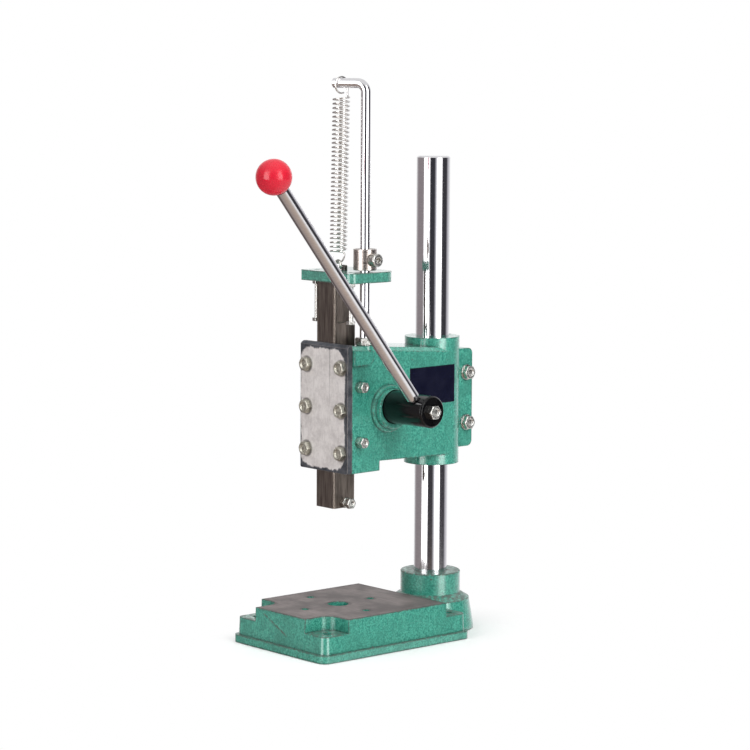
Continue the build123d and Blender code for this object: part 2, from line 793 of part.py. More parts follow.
with BuildPart() as pinion_shaft:
    with BuildSketch(Plane.YZ.offset(shaft_left_x)):
        with Locations((pinion_y, pinion_z)):
            Circle(shaft_radius)
    extrude(amount=hub_inner_x - shaft_left_x)
    with BuildSketch(Plane.YZ.offset(hub_inner_x)):
        with Locations((pinion_y, pinion_z)):
            Circle(shaft_nose_radius)
    extrude(amount=nose_end_x - hub_inner_x)
    # Keyways
    with BuildSketch(Plane.YZ.offset(ram_x)):
        with Locations((pinion_y, pinion_z + shaft_radius)):
            Rectangle(key_side + 2 * running_play, key_side + 2 * running_play)
    extrude(amount=pinion_width / 2, both=True, mode=Mode.SUBTRACT)
    with BuildSketch(Plane.YZ.offset(hub_inner_x + key_side)):
        with Locations((pinion_y, pinion_z + shaft_nose_radius)):
            Rectangle(key_side + 2 * running_play, key_side + 2 * running_play)
    extrude(amount=pinion_width, mode=Mode.SUBTRACT)
    # Tapped holes for the bolts in its two ends
    with BuildSketch(Plane.YZ.offset(shaft_left_x)):
        with Locations((pinion_y, pinion_z)):
            Circle(m8_radius + running_play)
    extrude(amount=end_bolt_length, mode=Mode.SUBTRACT)
    with BuildSketch(Plane.YZ.offset(nose_end_x)):
        with Locations((pinion_y, pinion_z)):
            Circle(m8_radius + running_play)
    extrude(amount=-hub_bolt_grip, mode=Mode.SUBTRACT)

with BuildPart() as shaft_keys:
    with BuildSketch(Plane.YZ.offset(ram_x)):
        with Locations((pinion_y, pinion_z + shaft_radius)):
            Rectangle(key_side, key_side)
    extrude(amount=pinion_width / 2 - running_play, both=True)
    with BuildSketch(Plane.YZ.offset(hub_inner_x + key_side + running_play)):
        with Locations((pinion_y, pinion_z + shaft_nose_radius)):
            Rectangle(key_side, key_side)
    extrude(amount=pinion_width - 2 * running_play)


def bush(left_x, right_x):
    """A plain bush of the pinion shaft."""
    with BuildPart() as sleeve:
        with BuildSketch(Plane.YZ.offset(left_x)):
            with Locations((pinion_y, pinion_z)):
                Circle(bush_radius)
                Circle(shaft_radius + running_play, mode=Mode.SUBTRACT)
        extrude(amount=right_x - left_x)
    return sleeve


shaft_bush_left = bush(end_spot_x, chamber_left_x)
shaft_bush_right = bush(chamber_right_x, recess_floor_x)

with BuildPart() as shaft_end_washer:
    with BuildSketch(Plane.YZ.offset(shaft_left_x)):
        with Locations((pinion_y, pinion_z)):
            Circle(end_washer_radius)
            Circle(m8_radius + running_play, mode=Mode.SUBTRACT)
    extrude(amount=-end_washer_thick)
end_bolt = hex_bolt(m8_flats, m8_head, m8_radius, end_bolt_length)
with BuildPart() as shaft_end_bolt:
    place = (shaft_left_x - end_washer_thick, pinion_y, pinion_z)
    with Locations(Plane(place, x_dir=(0, 1, 0), z_dir=(-1, 0, 0))):
        add(end_bolt)

save(pinion, "pinion")
save(pinion_shaft, "pinion_shaft")
save(shaft_keys, "shaft_keys")
save(shaft_bush_left, "shaft_bush_left")
save(shaft_bush_right, "shaft_bush_right")
save(shaft_end_washer, "shaft_end_washer")
save(shaft_end_bolt, "shaft_end_bolt")

# ---------------------------------------------------------------------------
# Hub, lever and ball
# ---------------------------------------------------------------------------

lever_direction = (0, -sin(radians(lever_lean)), cos(radians(lever_lean)))


def lever_plane(reach):
    """A plane square to the lever, at a distance from the hub's axis."""
    place = (
        lever_x,
        pinion_y + reach * lever_direction[1],
        pinion_z + reach * lever_direction[2],
    )
    return Plane(place, x_dir=(1, 0, 0), z_dir=lever_direction)


with BuildPart() as lever_hub:
    with BuildSketch(Plane.XY.offset(pinion_z)):
        with BuildLine():
            Polyline(
                (hub_inner_x, pinion_y),
                (hub_inner_x, pinion_y + hub_foot_radius),
                (hub_end_x - hub_bevel, pinion_y + hub_end_radius),
                (hub_end_x, pinion_y + hub_end_radius - hub_bevel),
                (hub_end_x, pinion_y),
                close=True,
            )
        make_face()
    revolve(axis=Axis((0, pinion_y, pinion_z), (1, 0, 0)))
    with BuildSketch(Plane.YZ.offset(hub_inner_x)):
        with Locations((pinion_y, pinion_z)):
            Circle(shaft_nose_radius + running_play)
    extrude(amount=nose_end_x - hub_inner_x, mode=Mode.SUBTRACT)
    with BuildSketch(Plane.YZ.offset(hub_inner_x)):
        with Locations((pinion_y, pinion_z)):
            Circle(m8_radius + running_play)
    extrude(amount=hub_end_x - hub_inner_x, mode=Mode.SUBTRACT)
    with BuildSketch(Plane.YZ.offset(hub_inner_x)):
        with Locations((pinion_y, pinion_z + shaft_nose_radius)):
            Rectangle(key_side + 2 * running_play, key_side + 2 * running_play)
    extrude(amount=pinion_width + key_side, mode=Mode.SUBTRACT)
    with BuildSketch(lever_plane(lever_foot - rest_gap)):
        Circle(lever_neck_radius + running_play)
    extrude(amount=hub_foot_radius, mode=Mode.SUBTRACT)

hub_bolt_solid = hex_bolt(m8_flats, m8_head, m8_radius, hub_end_x - nose_end_x + hub_bolt_grip - rest_gap)
with BuildPart() as hub_bolt:
    with Locations(Plane((hub_end_x, pinion_y, pinion_z), x_dir=(0, 1, 0), z_dir=(1, 0, 0))):
        add(hub_bolt_solid)

lever_tip = ball_reach - ball_radius + ball_socket_depth
with BuildPart() as lever_rod:
    with BuildSketch(lever_plane(lever_foot)):
        Circle(lever_neck_radius)
    extrude(amount=lever_tip - lever_foot)
    with BuildSketch(lever_plane(lever_shoulder)):
        Circle(lever_radius)
    extrude(amount=ball_reach - ball_flat_reach - rest_gap - lever_shoulder)

with BuildPart() as ball_knob:
    with Locations(lever_plane(ball_reach)):
        Sphere(ball_radius)
    with BuildSketch(lever_plane(ball_reach - ball_radius)):
        Circle(ball_radius)
    extrude(amount=ball_radius - ball_flat_reach, mode=Mode.SUBTRACT)
    with BuildSketch(lever_plane(ball_reach - ball_flat_reach)):
        Circle(lever_neck_radius + running_play)
    extrude(amount=lever_tip - ball_reach + ball_flat_reach, mode=Mode.SUBTRACT)

save(lever_hub, "lever_hub")
save(hub_bolt, "hub_bolt")
save(lever_rod, "lever_rod")
save(ball_knob, "ball_knob")

# ---------------------------------------------------------------------------
# Top plate, its screws, the stroke stops and the spring eye
# ---------------------------------------------------------------------------

stop_head_z = head_top_at(stop_bolt_y) + rest_gap + ram_stroke
with BuildPart() as top_plate:
    with BuildSketch(Plane.XY.offset(ram_top)) as top_outline:
        with BuildLine():
            Polyline(
                (top_plate_left_x, top_plate_front_y),
                (top_plate_right_x, top_plate_front_y),
                (top_plate_right_x, top_plate_rear_y),
                (top_plate_left_x, top_plate_rear_y),
                close=True,
            )
        make_face()
        for x, y, radius in (
            (top_plate_left_x, top_plate_front_y, front_left_corner),
            (top_plate_right_x, top_plate_front_y, front_right_corner),
            (top_plate_right_x, top_plate_rear_y, rear_right_corner),
            (top_plate_left_x, top_plate_rear_y, rear_left_corner),
        ):
            fillet(top_outline.vertices().sort_by_distance((x, y, ram_top))[0], radius)
        with Locations((hanger_x, hanger_y)):
            Circle(hanger_hole_radius, mode=Mode.SUBTRACT)
        with Locations((ram_x, -top_screw_y), (ram_x, top_screw_y), (spring_foot_x, 0)):
            Circle(m5_radius + running_play, mode=Mode.SUBTRACT)
        with Locations((-stop_bolt_x, stop_bolt_y), (stop_bolt_x, stop_bolt_y)):
            Circle(m5_radius + running_play, mode=Mode.SUBTRACT)
    extrude(amount=top_plate_thick)

top_screw_whole = top_plate_thick + top_screw_length - rest_gap
top_screw = socket_screw(m5_cap_radius, m5_cap_height, m5_radius, top_screw_whole)
with BuildPart() as top_plate_screws:
    with Locations((ram_x, -top_screw_y, top_plate_top), (ram_x, top_screw_y, top_plate_top)):
        add(top_screw)

stop_bolt_length = top_plate_top - stop_bolt_past_plate - stop_head_z - m5_head
stop_bolt = hex_bolt(m5_flats, m5_head, m5_radius, stop_bolt_length)
stop_nut = hex_nut(m5_flats, m5_nut, m5_radius + running_play)


def stroke_stop(side):
    """A stop bolt, head down, screwed up into the top plate."""
    with BuildPart() as stop:
        place = (side * stop_bolt_x, stop_bolt_y, stop_head_z + m5_head)
        with Locations(Plane(place, x_dir=(1, 0, 0), z_dir=(0, 0, -1))):
            add(stop_bolt)
    return stop


stop_bolt_left = stroke_stop(-1)
stop_bolt_right = stroke_stop(1)
with BuildPart() as stop_locknuts:
    for side in (-1, 1):
        with Locations(Plane((side * stop_bolt_x, stop_bolt_y, ram_top), x_dir=(1, 0, 0), z_dir=(0, 0, -1))):
            add(stop_nut)

eye_ring_z = top_plate_top + eye_base_height + eye_ring_radius + eye_wire_radius / 2

with BuildPart() as spring_eye:
    with BuildSketch(Plane((spring_foot_x, 0, top_plate_top))):
        Circle(eye_base_radius)
    extrude(amount=eye_base_height)
    with BuildSketch(Plane((spring_foot_x, 0, top_plate_top))):
        Circle(m5_radius)
    extrude(amount=-top_plate_thick - eye_shank_length + rest_gap)
    with Locations(Plane((spring_foot_x, 0, eye_ring_z), x_dir=(1, 0, 0), z_dir=(0, 1, 0))):
        Torus(eye_ring_radius, eye_wire_radius)

save(top_plate, "top_plate")
save(top_plate_screws, "top_plate_screws")
save(stop_bolt_left, "stop_bolt_left")
save(stop_bolt_right, "stop_bolt_right")
save(stop_locknuts, "stop_locknuts")
save(spring_eye, "spring_eye")

# ---------------------------------------------------------------------------
# Spring hanger with its locknut, and the stop collar
# ---------------------------------------------------------------------------

# The hanger's arm runs from the hanger to over the spring's head
hanger_foot_z = hanger_seat_z - hanger_sink + rest_gap
arm_run = hypot(spring_head_x - hanger_x, -hanger_y)
arm_direction = ((spring_head_x - hanger_x) / arm_run, -hanger_y / arm_run, 0)
arm_end = (
    spring_head_x + hanger_past_spring * arm_direction[0],
    hanger_past_spring * arm_direction[1],
    hanger_arm_z,
)
with BuildPart() as spring_hanger:
    with BuildLine() as hanger_line:
        FilletPolyline(
            (hanger_x, hanger_y, hanger_foot_z),
            (hanger_x, hanger_y, hanger_arm_z),
            arm_end,
            radius=hanger_bend,
        )
    with BuildSketch(Plane((hanger_x, hanger_y, hanger_foot_z))):
        Circle(hanger_radius)
    sweep(path=hanger_line.wires()[0])
    chamfer(spring_hanger.faces().sort_by(Axis(arm_end, arm_direction))[-1].edges(), length=corner_break)

hanger_nut_solid = hex_nut(m10_flats, m10_nut, hanger_radius + running_play)
with BuildPart() as hanger_locknut:
    with Locations((hanger_x, hanger_y, hanger_seat_z)):
        add(hanger_nut_solid)

collar_foot_z = top_plate_top + collar_lift
collar_screw_z = collar_foot_z + collar_height / 2
collar_seat_x = hanger_x + collar_radius + collar_screw_shows
collar_screw_reach = collar_seat_x - hanger_x - hanger_radius - rest_gap
with BuildPart() as stop_collar:
    with BuildSketch(Plane((hanger_x, hanger_y, collar_foot_z))):
        Circle(collar_radius)
        Circle(hanger_radius + running_play, mode=Mode.SUBTRACT)
    extrude(amount=collar_height)
    chamfer(stop_collar.edges().filter_by(GeomType.CIRCLE), length=corner_break / 2)
    with BuildSketch(Plane.YZ.offset(hanger_x)):
        with Locations((hanger_y, collar_screw_z)):
            Circle(m8_radius + running_play)
    extrude(amount=collar_radius, mode=Mode.SUBTRACT)

collar_bolt = socket_screw(collar_head_radius, collar_head_height, m8_radius, collar_screw_reach)
with BuildPart() as collar_screw:
    with Locations(Plane((collar_seat_x, hanger_y, collar_screw_z), x_dir=(0, 1, 0), z_dir=(1, 0, 0))):
        add(collar_bolt)

save(spring_hanger, "spring_hanger")
save(hanger_locknut, "hanger_locknut")
save(stop_collar, "stop_collar")
save(collar_screw, "collar_screw")

# ---------------------------------------------------------------------------
# Return spring: one wire, from its lower loop in the eye to its upper loop on the arm
# ---------------------------------------------------------------------------

def biarc(start, start_direction, end, end_direction):
    """Middle point of the two equal-reach arcs that join two directed points."""
    gap = end - start
    both = start_direction + end_direction
    square = 2 * (1 - start_direction.dot(end_direction))
    linear = gap.dot(both)
    reach = gap.dot(gap) / (linear + sqrt(linear ** 2 + square * gap.dot(gap)))
    corner = start + start_direction * reach
    far_corner = end - end_direction * reach
    return (corner + far_corner) / 2, (far_corner - corner).normalized()


along = Vector(-1, 0, 0)
across = Vector(0, -1, 0)
upward = Vector(0, 0, 1)
foot_hook_z = eye_ring_z + eye_ring_radius - eye_wire_radius - wire_radius - rest_gap + coil_radius
top_hook_z = hanger_arm_z + hanger_radius + rest_gap + wire_radius - coil_radius
coil_foot = foot_hook_z + hook_bend
coil_top = top_hook_z - top_leg - hook_bend
spring_lean = (spring_head_x - spring_foot_x) / (top_hook_z - foot_hook_z)
bend_turn = hook_bend / coil_radius
coil_sweep = 2 * pi * coil_turns - 2 * bend_turn
half_turns = 2 * coil_turns


def on_axis(z):
    """A point of the spring's axis."""
    return Vector(spring_foot_x + spring_lean * (z - foot_hook_z), 0, z)


def hook_point(z, angle):
    """A directed point of an end loop, which stands upright, square to X."""
    place = on_axis(z) + across * (coil_radius * cos(angle)) + upward * (coil_radius * sin(angle))
    return place, across * sin(angle) - upward * cos(angle)


def coil_point(share):
    """A directed point of the coil, from its foot (0) to its top (1)."""
    angle = bend_turn + share * coil_sweep
    climb = (coil_top - coil_foot) / coil_sweep
    out = -across * cos(angle) + along * sin(angle)
    axis_step = upward - along * spring_lean
    ahead = (across * sin(angle) + along * cos(angle)) * coil_radius + axis_step * climb
    return on_axis(coil_foot + share * (coil_top - coil_foot)) + out * coil_radius, ahead.normalized()


# The lower loop is half a turn under the coil; the upper one goes over the arm
left_foot = (on_axis(foot_hook_z) - across * coil_radius, upward)
left_top = (on_axis(coil_top + hook_bend) - across * coil_radius, upward)
wire_points = [hook_point(foot_hook_z, 0), hook_point(foot_hook_z, -pi / 2), left_foot]
wire_points += [coil_point(turn / half_turns) for turn in range(half_turns + 1)]
wire_points += [left_top]
wire_points += [hook_point(top_hook_z, pi - radians(sweep)) for sweep in (0, 90, 180, 240, top_hook_sweep)]

with BuildPart() as return_spring:
    with BuildLine() as wire_line:
        for (start, start_direction), (end, end_direction) in zip(wire_points, wire_points[1:]):
            if (end - start).normalized().dot(start_direction) > 1 - 1e-9:
                Line(start, end)
            else:
                middle, middle_direction = biarc(start, start_direction, end, end_direction)
                TangentArc(start, middle, tangent=start_direction)
                TangentArc(middle, end, tangent=middle_direction)
    with BuildSketch(Plane(wire_points[0][0], z_dir=wire_points[0][1])):
        Circle(wire_radius)
    sweep(path=wire_line.wires()[0])

measured = []
reached = 0.0
for edge in wire_line.wires()[0].edges():
    for step in range(sample_step):
        measured.append((reached + edge.length * step / sample_step, edge.position_at(step / sample_step)))
    reached += edge.length
two_coils = 2 * (coil_top - coil_foot) / coil_turns
least_gap = min(
    dist(tuple(here), tuple(there)) - 2 * wire_radius
    for number, (here_reach, here) in enumerate(measured)
    for there_reach, there in measured[number + 1:]
    if abs(there.Z - here.Z) < two_coils and there_reach - here_reach > coil_radius
)
print(f"return_spring: {coil_turns} coils, least gap to itself {least_gap:.2f} mm")

save(return_spring, "return_spring")
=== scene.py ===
"""A hand lever press: cast head and base in green enamel, chromed column, rack ram and return spring."""

from math import cos, pi, radians, sin, tan

import bmesh
import bpy
from mathutils import Matrix, Vector


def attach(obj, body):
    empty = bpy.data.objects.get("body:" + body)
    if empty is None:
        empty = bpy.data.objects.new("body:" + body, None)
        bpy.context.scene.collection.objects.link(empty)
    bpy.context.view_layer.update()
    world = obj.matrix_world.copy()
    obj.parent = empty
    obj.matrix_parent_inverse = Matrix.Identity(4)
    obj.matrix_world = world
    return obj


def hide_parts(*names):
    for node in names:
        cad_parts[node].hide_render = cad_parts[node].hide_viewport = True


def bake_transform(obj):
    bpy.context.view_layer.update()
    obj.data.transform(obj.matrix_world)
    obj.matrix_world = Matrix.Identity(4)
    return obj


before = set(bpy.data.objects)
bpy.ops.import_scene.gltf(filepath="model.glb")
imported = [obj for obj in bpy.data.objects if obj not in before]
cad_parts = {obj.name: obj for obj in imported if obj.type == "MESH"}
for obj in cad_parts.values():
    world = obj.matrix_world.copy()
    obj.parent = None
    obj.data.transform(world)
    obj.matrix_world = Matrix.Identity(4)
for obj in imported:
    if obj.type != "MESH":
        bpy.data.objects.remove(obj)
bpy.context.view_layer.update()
MM = 0.001

# ---------------------------------------------------------------------------
# Camera, from the picture's own view: a long lens, a little above the head
# ---------------------------------------------------------------------------

CAMERA_PLACE = Vector((2.0503, -1.7525, 0.5864))
CAMERA_RIGHT = Vector((0.65949, 0.75169, 0.00576))
CAMERA_UP = Vector((-0.08953, 0.07093, 0.99346))
FOCAL_SHARE = 3.5572       # focal length as a share of the picture's width
SENSOR = 36.0

camera = bpy.data.objects.new("camera", bpy.data.cameras.new("camera"))
bpy.context.scene.collection.objects.link(camera)
bpy.context.scene.camera = camera
camera_back = CAMERA_RIGHT.cross(CAMERA_UP)
turn = Matrix((CAMERA_RIGHT, CAMERA_UP, camera_back)).transposed().to_4x4()
camera.matrix_world = Matrix.Translation(CAMERA_PLACE) @ turn
camera.data.sensor_width = SENSOR
camera.data.lens = FOCAL_SHARE * SENSOR
camera.data.clip_start = 0.05
camera.data.clip_end = 60.0

# ---------------------------------------------------------------------------
# Colour and node helpers
# ---------------------------------------------------------------------------


def linear(hex_colour):
    """An sRGB hex colour as a linear RGBA tuple."""
    channels = [int(hex_colour[i:i + 2], 16) / 255 for i in (0, 2, 4)]
    return tuple(c / 12.92 if c <= 0.04045 else ((c + 0.055) / 1.055) ** 2.4 for c in channels) + (1.0,)


def add_node(tree, kind, settings=None, **links):
    """Adds a node. Its links name inputs (spaces as _, or _ and a number), each with a value, an output or a
    node, which gives its first output."""
    node = tree.nodes.new(kind)
    for name, value in (settings or {}).items():
        setattr(node, name, value)
    for name, value in links.items():
        socket = node.inputs[int(name[1:])] if name[1:].isdigit() else node.inputs[name.replace("_", " ")]
        if isinstance(value, bpy.types.Node):
            value = value.outputs[0]
        if isinstance(value, bpy.types.NodeSocket):
            tree.links.new(value, socket)
        else:
            socket.default_value = value
    return node


def new_surface(name, **values):
    """A new material with its principled shader's constant values; returns material, tree, shader and the
    object's own coordinates, which stay with a piece as it moves."""
    material = bpy.data.materials.new(name)
    material.use_nodes = True
    tree = material.node_tree
    shader = tree.nodes["Principled BSDF"]
    for key, value in values.items():
        shader.inputs[key.replace("_", " ")].default_value = value
    return material, tree, shader, add_node(tree, "ShaderNodeTexCoord").outputs["Object"]


WHITE = linear("FFFFFF")
SMOOTH = {"interpolation_type": "SMOOTHSTEP"}
COLOUR = {"data_type": "RGBA"}
FLOAT = {"data_type": "FLOAT"}
MULTIPLY = {"operation": "MULTIPLY"}
MULTIPLY_ADD = {"operation": "MULTIPLY_ADD"}
SUBTRACT = {"operation": "SUBTRACT"}
ABSOLUTE = {"operation": "ABSOLUTE"}
MAXIMUM = {"operation": "MAXIMUM"}
DOT_PRODUCT = {"operation": "DOT_PRODUCT"}


def worn_edge(tree, radius_mm, start, full):
    """The pattern of handling wear and of painted edge highlights: 0 on flats, 1 on convex edges, where a
    rounded normal turns away from the flat one (start and full are cosines). Returns the wear and the
    rounded normal."""
    rounded = add_node(tree, "ShaderNodeBevel", {"samples": 4}, Radius=radius_mm * MM)
    flat = add_node(tree, "ShaderNodeNewGeometry").outputs["Normal"]
    same = add_node(tree, "ShaderNodeVectorMath", DOT_PRODUCT, _0=rounded, _1=flat)
    wear = add_node(tree, "ShaderNodeMapRange", SMOOTH, Value=same.outputs["Value"],
                    From_Min=start, From_Max=full, To_Min=0.0, To_Max=1.0)
    return wear, rounded


# ---------------------------------------------------------------------------
# Finishes
# ---------------------------------------------------------------------------

TABLE_TOP_MM = 40.0
MILLED_BAND_MM = (0.1, 0.3)        # off that height, where the milled look starts to fade and where it ends
FRONT_WALL_MM = -60.0              # the base's front wall lies in front of this y
SCRAPE_ENDS_MM = ((-29.0, 37.0), (14.0, 17.0))     # x and z on that wall
SCRAPE_FADE_MM = 8.0               # at each of its ends
SCRAPE_HALF_WIDTHS_MM = (0.5, 1.3)  # of its core and of all of it
PALE_MIDDLE_MM = (-2.2, 244.0)     # x and z of the front plate's ground face
PALE_CORE_MM = (19.5, 46.0)        # half its width and height without its rounded, ragged rim
PALE_RIM_MM = (18.6, 20.4)         # from the core to where it starts and where it has ended
RAGGED_MM = 9.0                    # how far the noise pulls that rim in
PLATE_BOLT_X_MM = 27.0
PLATE_BOLT_MIDDLE_MM = 243.75
PLATE_BOLT_PITCH_MM = 43.3
BOLT_SHADE_RADII_MM = (7.6, 9.6)        # round a bolt, where the painted shade starts to fade and where it ends
SCRIBED_X_MM = 9.0
SCRIBED_HALF_WIDTHS_MM = (0.2, 0.9)
SCRIBED_FADE_MM = (240.0, 300.0)   # in height, from nothing to full


def scrape(tree, place, ragged, ends):
    """The pattern of one long scrape across the front wall, from one of its points (x, z) to the other: 1 on
    the line, with ragged breaks, and 0 off it."""
    start, finish = (Vector((x, 0.0, z)) * MM for x, z in ends)
    run = finish - start
    along, across = run.normalized(), run.normalized().cross(Vector((0, 1, 0)))
    half = run.length / 2
    core, edge = SCRAPE_HALF_WIDTHS_MM
    onto = add_node(tree, "ShaderNodeVectorMath", SUBTRACT, _0=place, _1=start)
    far = add_node(tree, "ShaderNodeVectorMath", DOT_PRODUCT, _0=onto, _1=along)
    off = add_node(tree, "ShaderNodeVectorMath", DOT_PRODUCT, _0=onto, _1=across)
    off = add_node(tree, "ShaderNodeMath", ABSOLUTE, _0=off.outputs["Value"])
    from_middle = add_node(tree, "ShaderNodeMath", SUBTRACT, _0=far.outputs["Value"], _1=half)
    from_middle = add_node(tree, "ShaderNodeMath", ABSOLUTE, _0=from_middle)
    line = add_node(tree, "ShaderNodeMapRange", SMOOTH, Value=from_middle, From_Min=half,
                    From_Max=half - SCRAPE_FADE_MM * MM)
    near = add_node(tree, "ShaderNodeMapRange", SMOOTH, Value=off, From_Min=edge * MM, From_Max=core * MM)
    broken = add_node(tree, "ShaderNodeMapRange", SMOOTH, Value=ragged, From_Min=0.36, From_Max=0.56)
    depth = add_node(tree, "ShaderNodeSeparateXYZ", Vector=place).outputs["Y"]
    front = add_node(tree, "ShaderNodeMath", {"operation": "LESS_THAN"}, _0=depth, _1=FRONT_WALL_MM * MM)
    for share in (near, broken, front):
        line = add_node(tree, "ShaderNodeMath", MULTIPLY, _0=line, _1=share)
    return line


def milled_face(tree, place, torn, level_mm):
    """The pattern of a face that looks up at one height, milled and left bare: a dull brown-grey with faint
    cutter lines, oil stains and a dark rim. Returns its colour, where it is, and where any face looks up."""
    drawn = add_node(tree, "ShaderNodeVectorMath", MULTIPLY, _0=place, _1=(0.06, 1.0, 1.0))
    # Cutter marks are 0.2 mm apart; drawn at 1.6 mm
    lines = add_node(tree, "ShaderNodeTexNoise", Vector=drawn, Scale=1 / (1.6 * MM), Detail=3.0)
    stain = add_node(tree, "ShaderNodeTexNoise", Vector=place, Scale=1 / (40 * MM), Detail=6.0,
                     Roughness=0.6)
    stained = add_node(tree, "ShaderNodeMapRange", SMOOTH, Value=stain, From_Min=0.34, From_Max=0.66)
    colour = add_node(tree, "ShaderNodeMix", COLOUR, _0=stained, _6=linear("4E4645"), _7=linear("7A706E"))
    streak = add_node(tree, "ShaderNodeMapRange", SMOOTH, Value=lines, From_Min=0.4, From_Max=0.7,
                      To_Min=0.0, To_Max=0.55)
    colour = add_node(tree, "ShaderNodeMix", COLOUR, _0=streak, _6=colour.outputs[2], _7=linear("3F3938"))
    rim = worn_edge(tree, radius_mm=6.0, start=0.9998, full=0.985)[0]
    rim = add_node(tree, "ShaderNodeMath", MULTIPLY, _0=rim, _1=torn)
    colour = add_node(tree, "ShaderNodeMix", COLOUR, _0=rim, _6=colour.outputs[2], _7=linear("2E2724"))
    full, none = MILLED_BAND_MM
    level = add_node(tree, "ShaderNodeSeparateXYZ", Vector=place).outputs["Z"]
    reached = add_node(tree, "ShaderNodeMapRange", SMOOTH, Value=level,
                       From_Min=(level_mm - none) * MM, From_Max=(level_mm - full) * MM)
    capped = add_node(tree, "ShaderNodeMapRange", SMOOTH, Value=level,
                      From_Min=(level_mm + none) * MM, From_Max=(level_mm + full) * MM)
    normal = add_node(tree, "ShaderNodeNewGeometry").outputs["Normal"]
    upward = add_node(tree, "ShaderNodeSeparateXYZ", Vector=normal).outputs["Z"]
    upward = add_node(tree, "ShaderNodeMapRange", SMOOTH, Value=upward, From_Min=0.3, From_Max=0.8)
    milled = add_node(tree, "ShaderNodeMath", MULTIPLY, _0=reached, _1=capped)
    milled = add_node(tree, "ShaderNodeMath", MULTIPLY, _0=milled, _1=upward)
    return colour.outputs[2], milled, upward


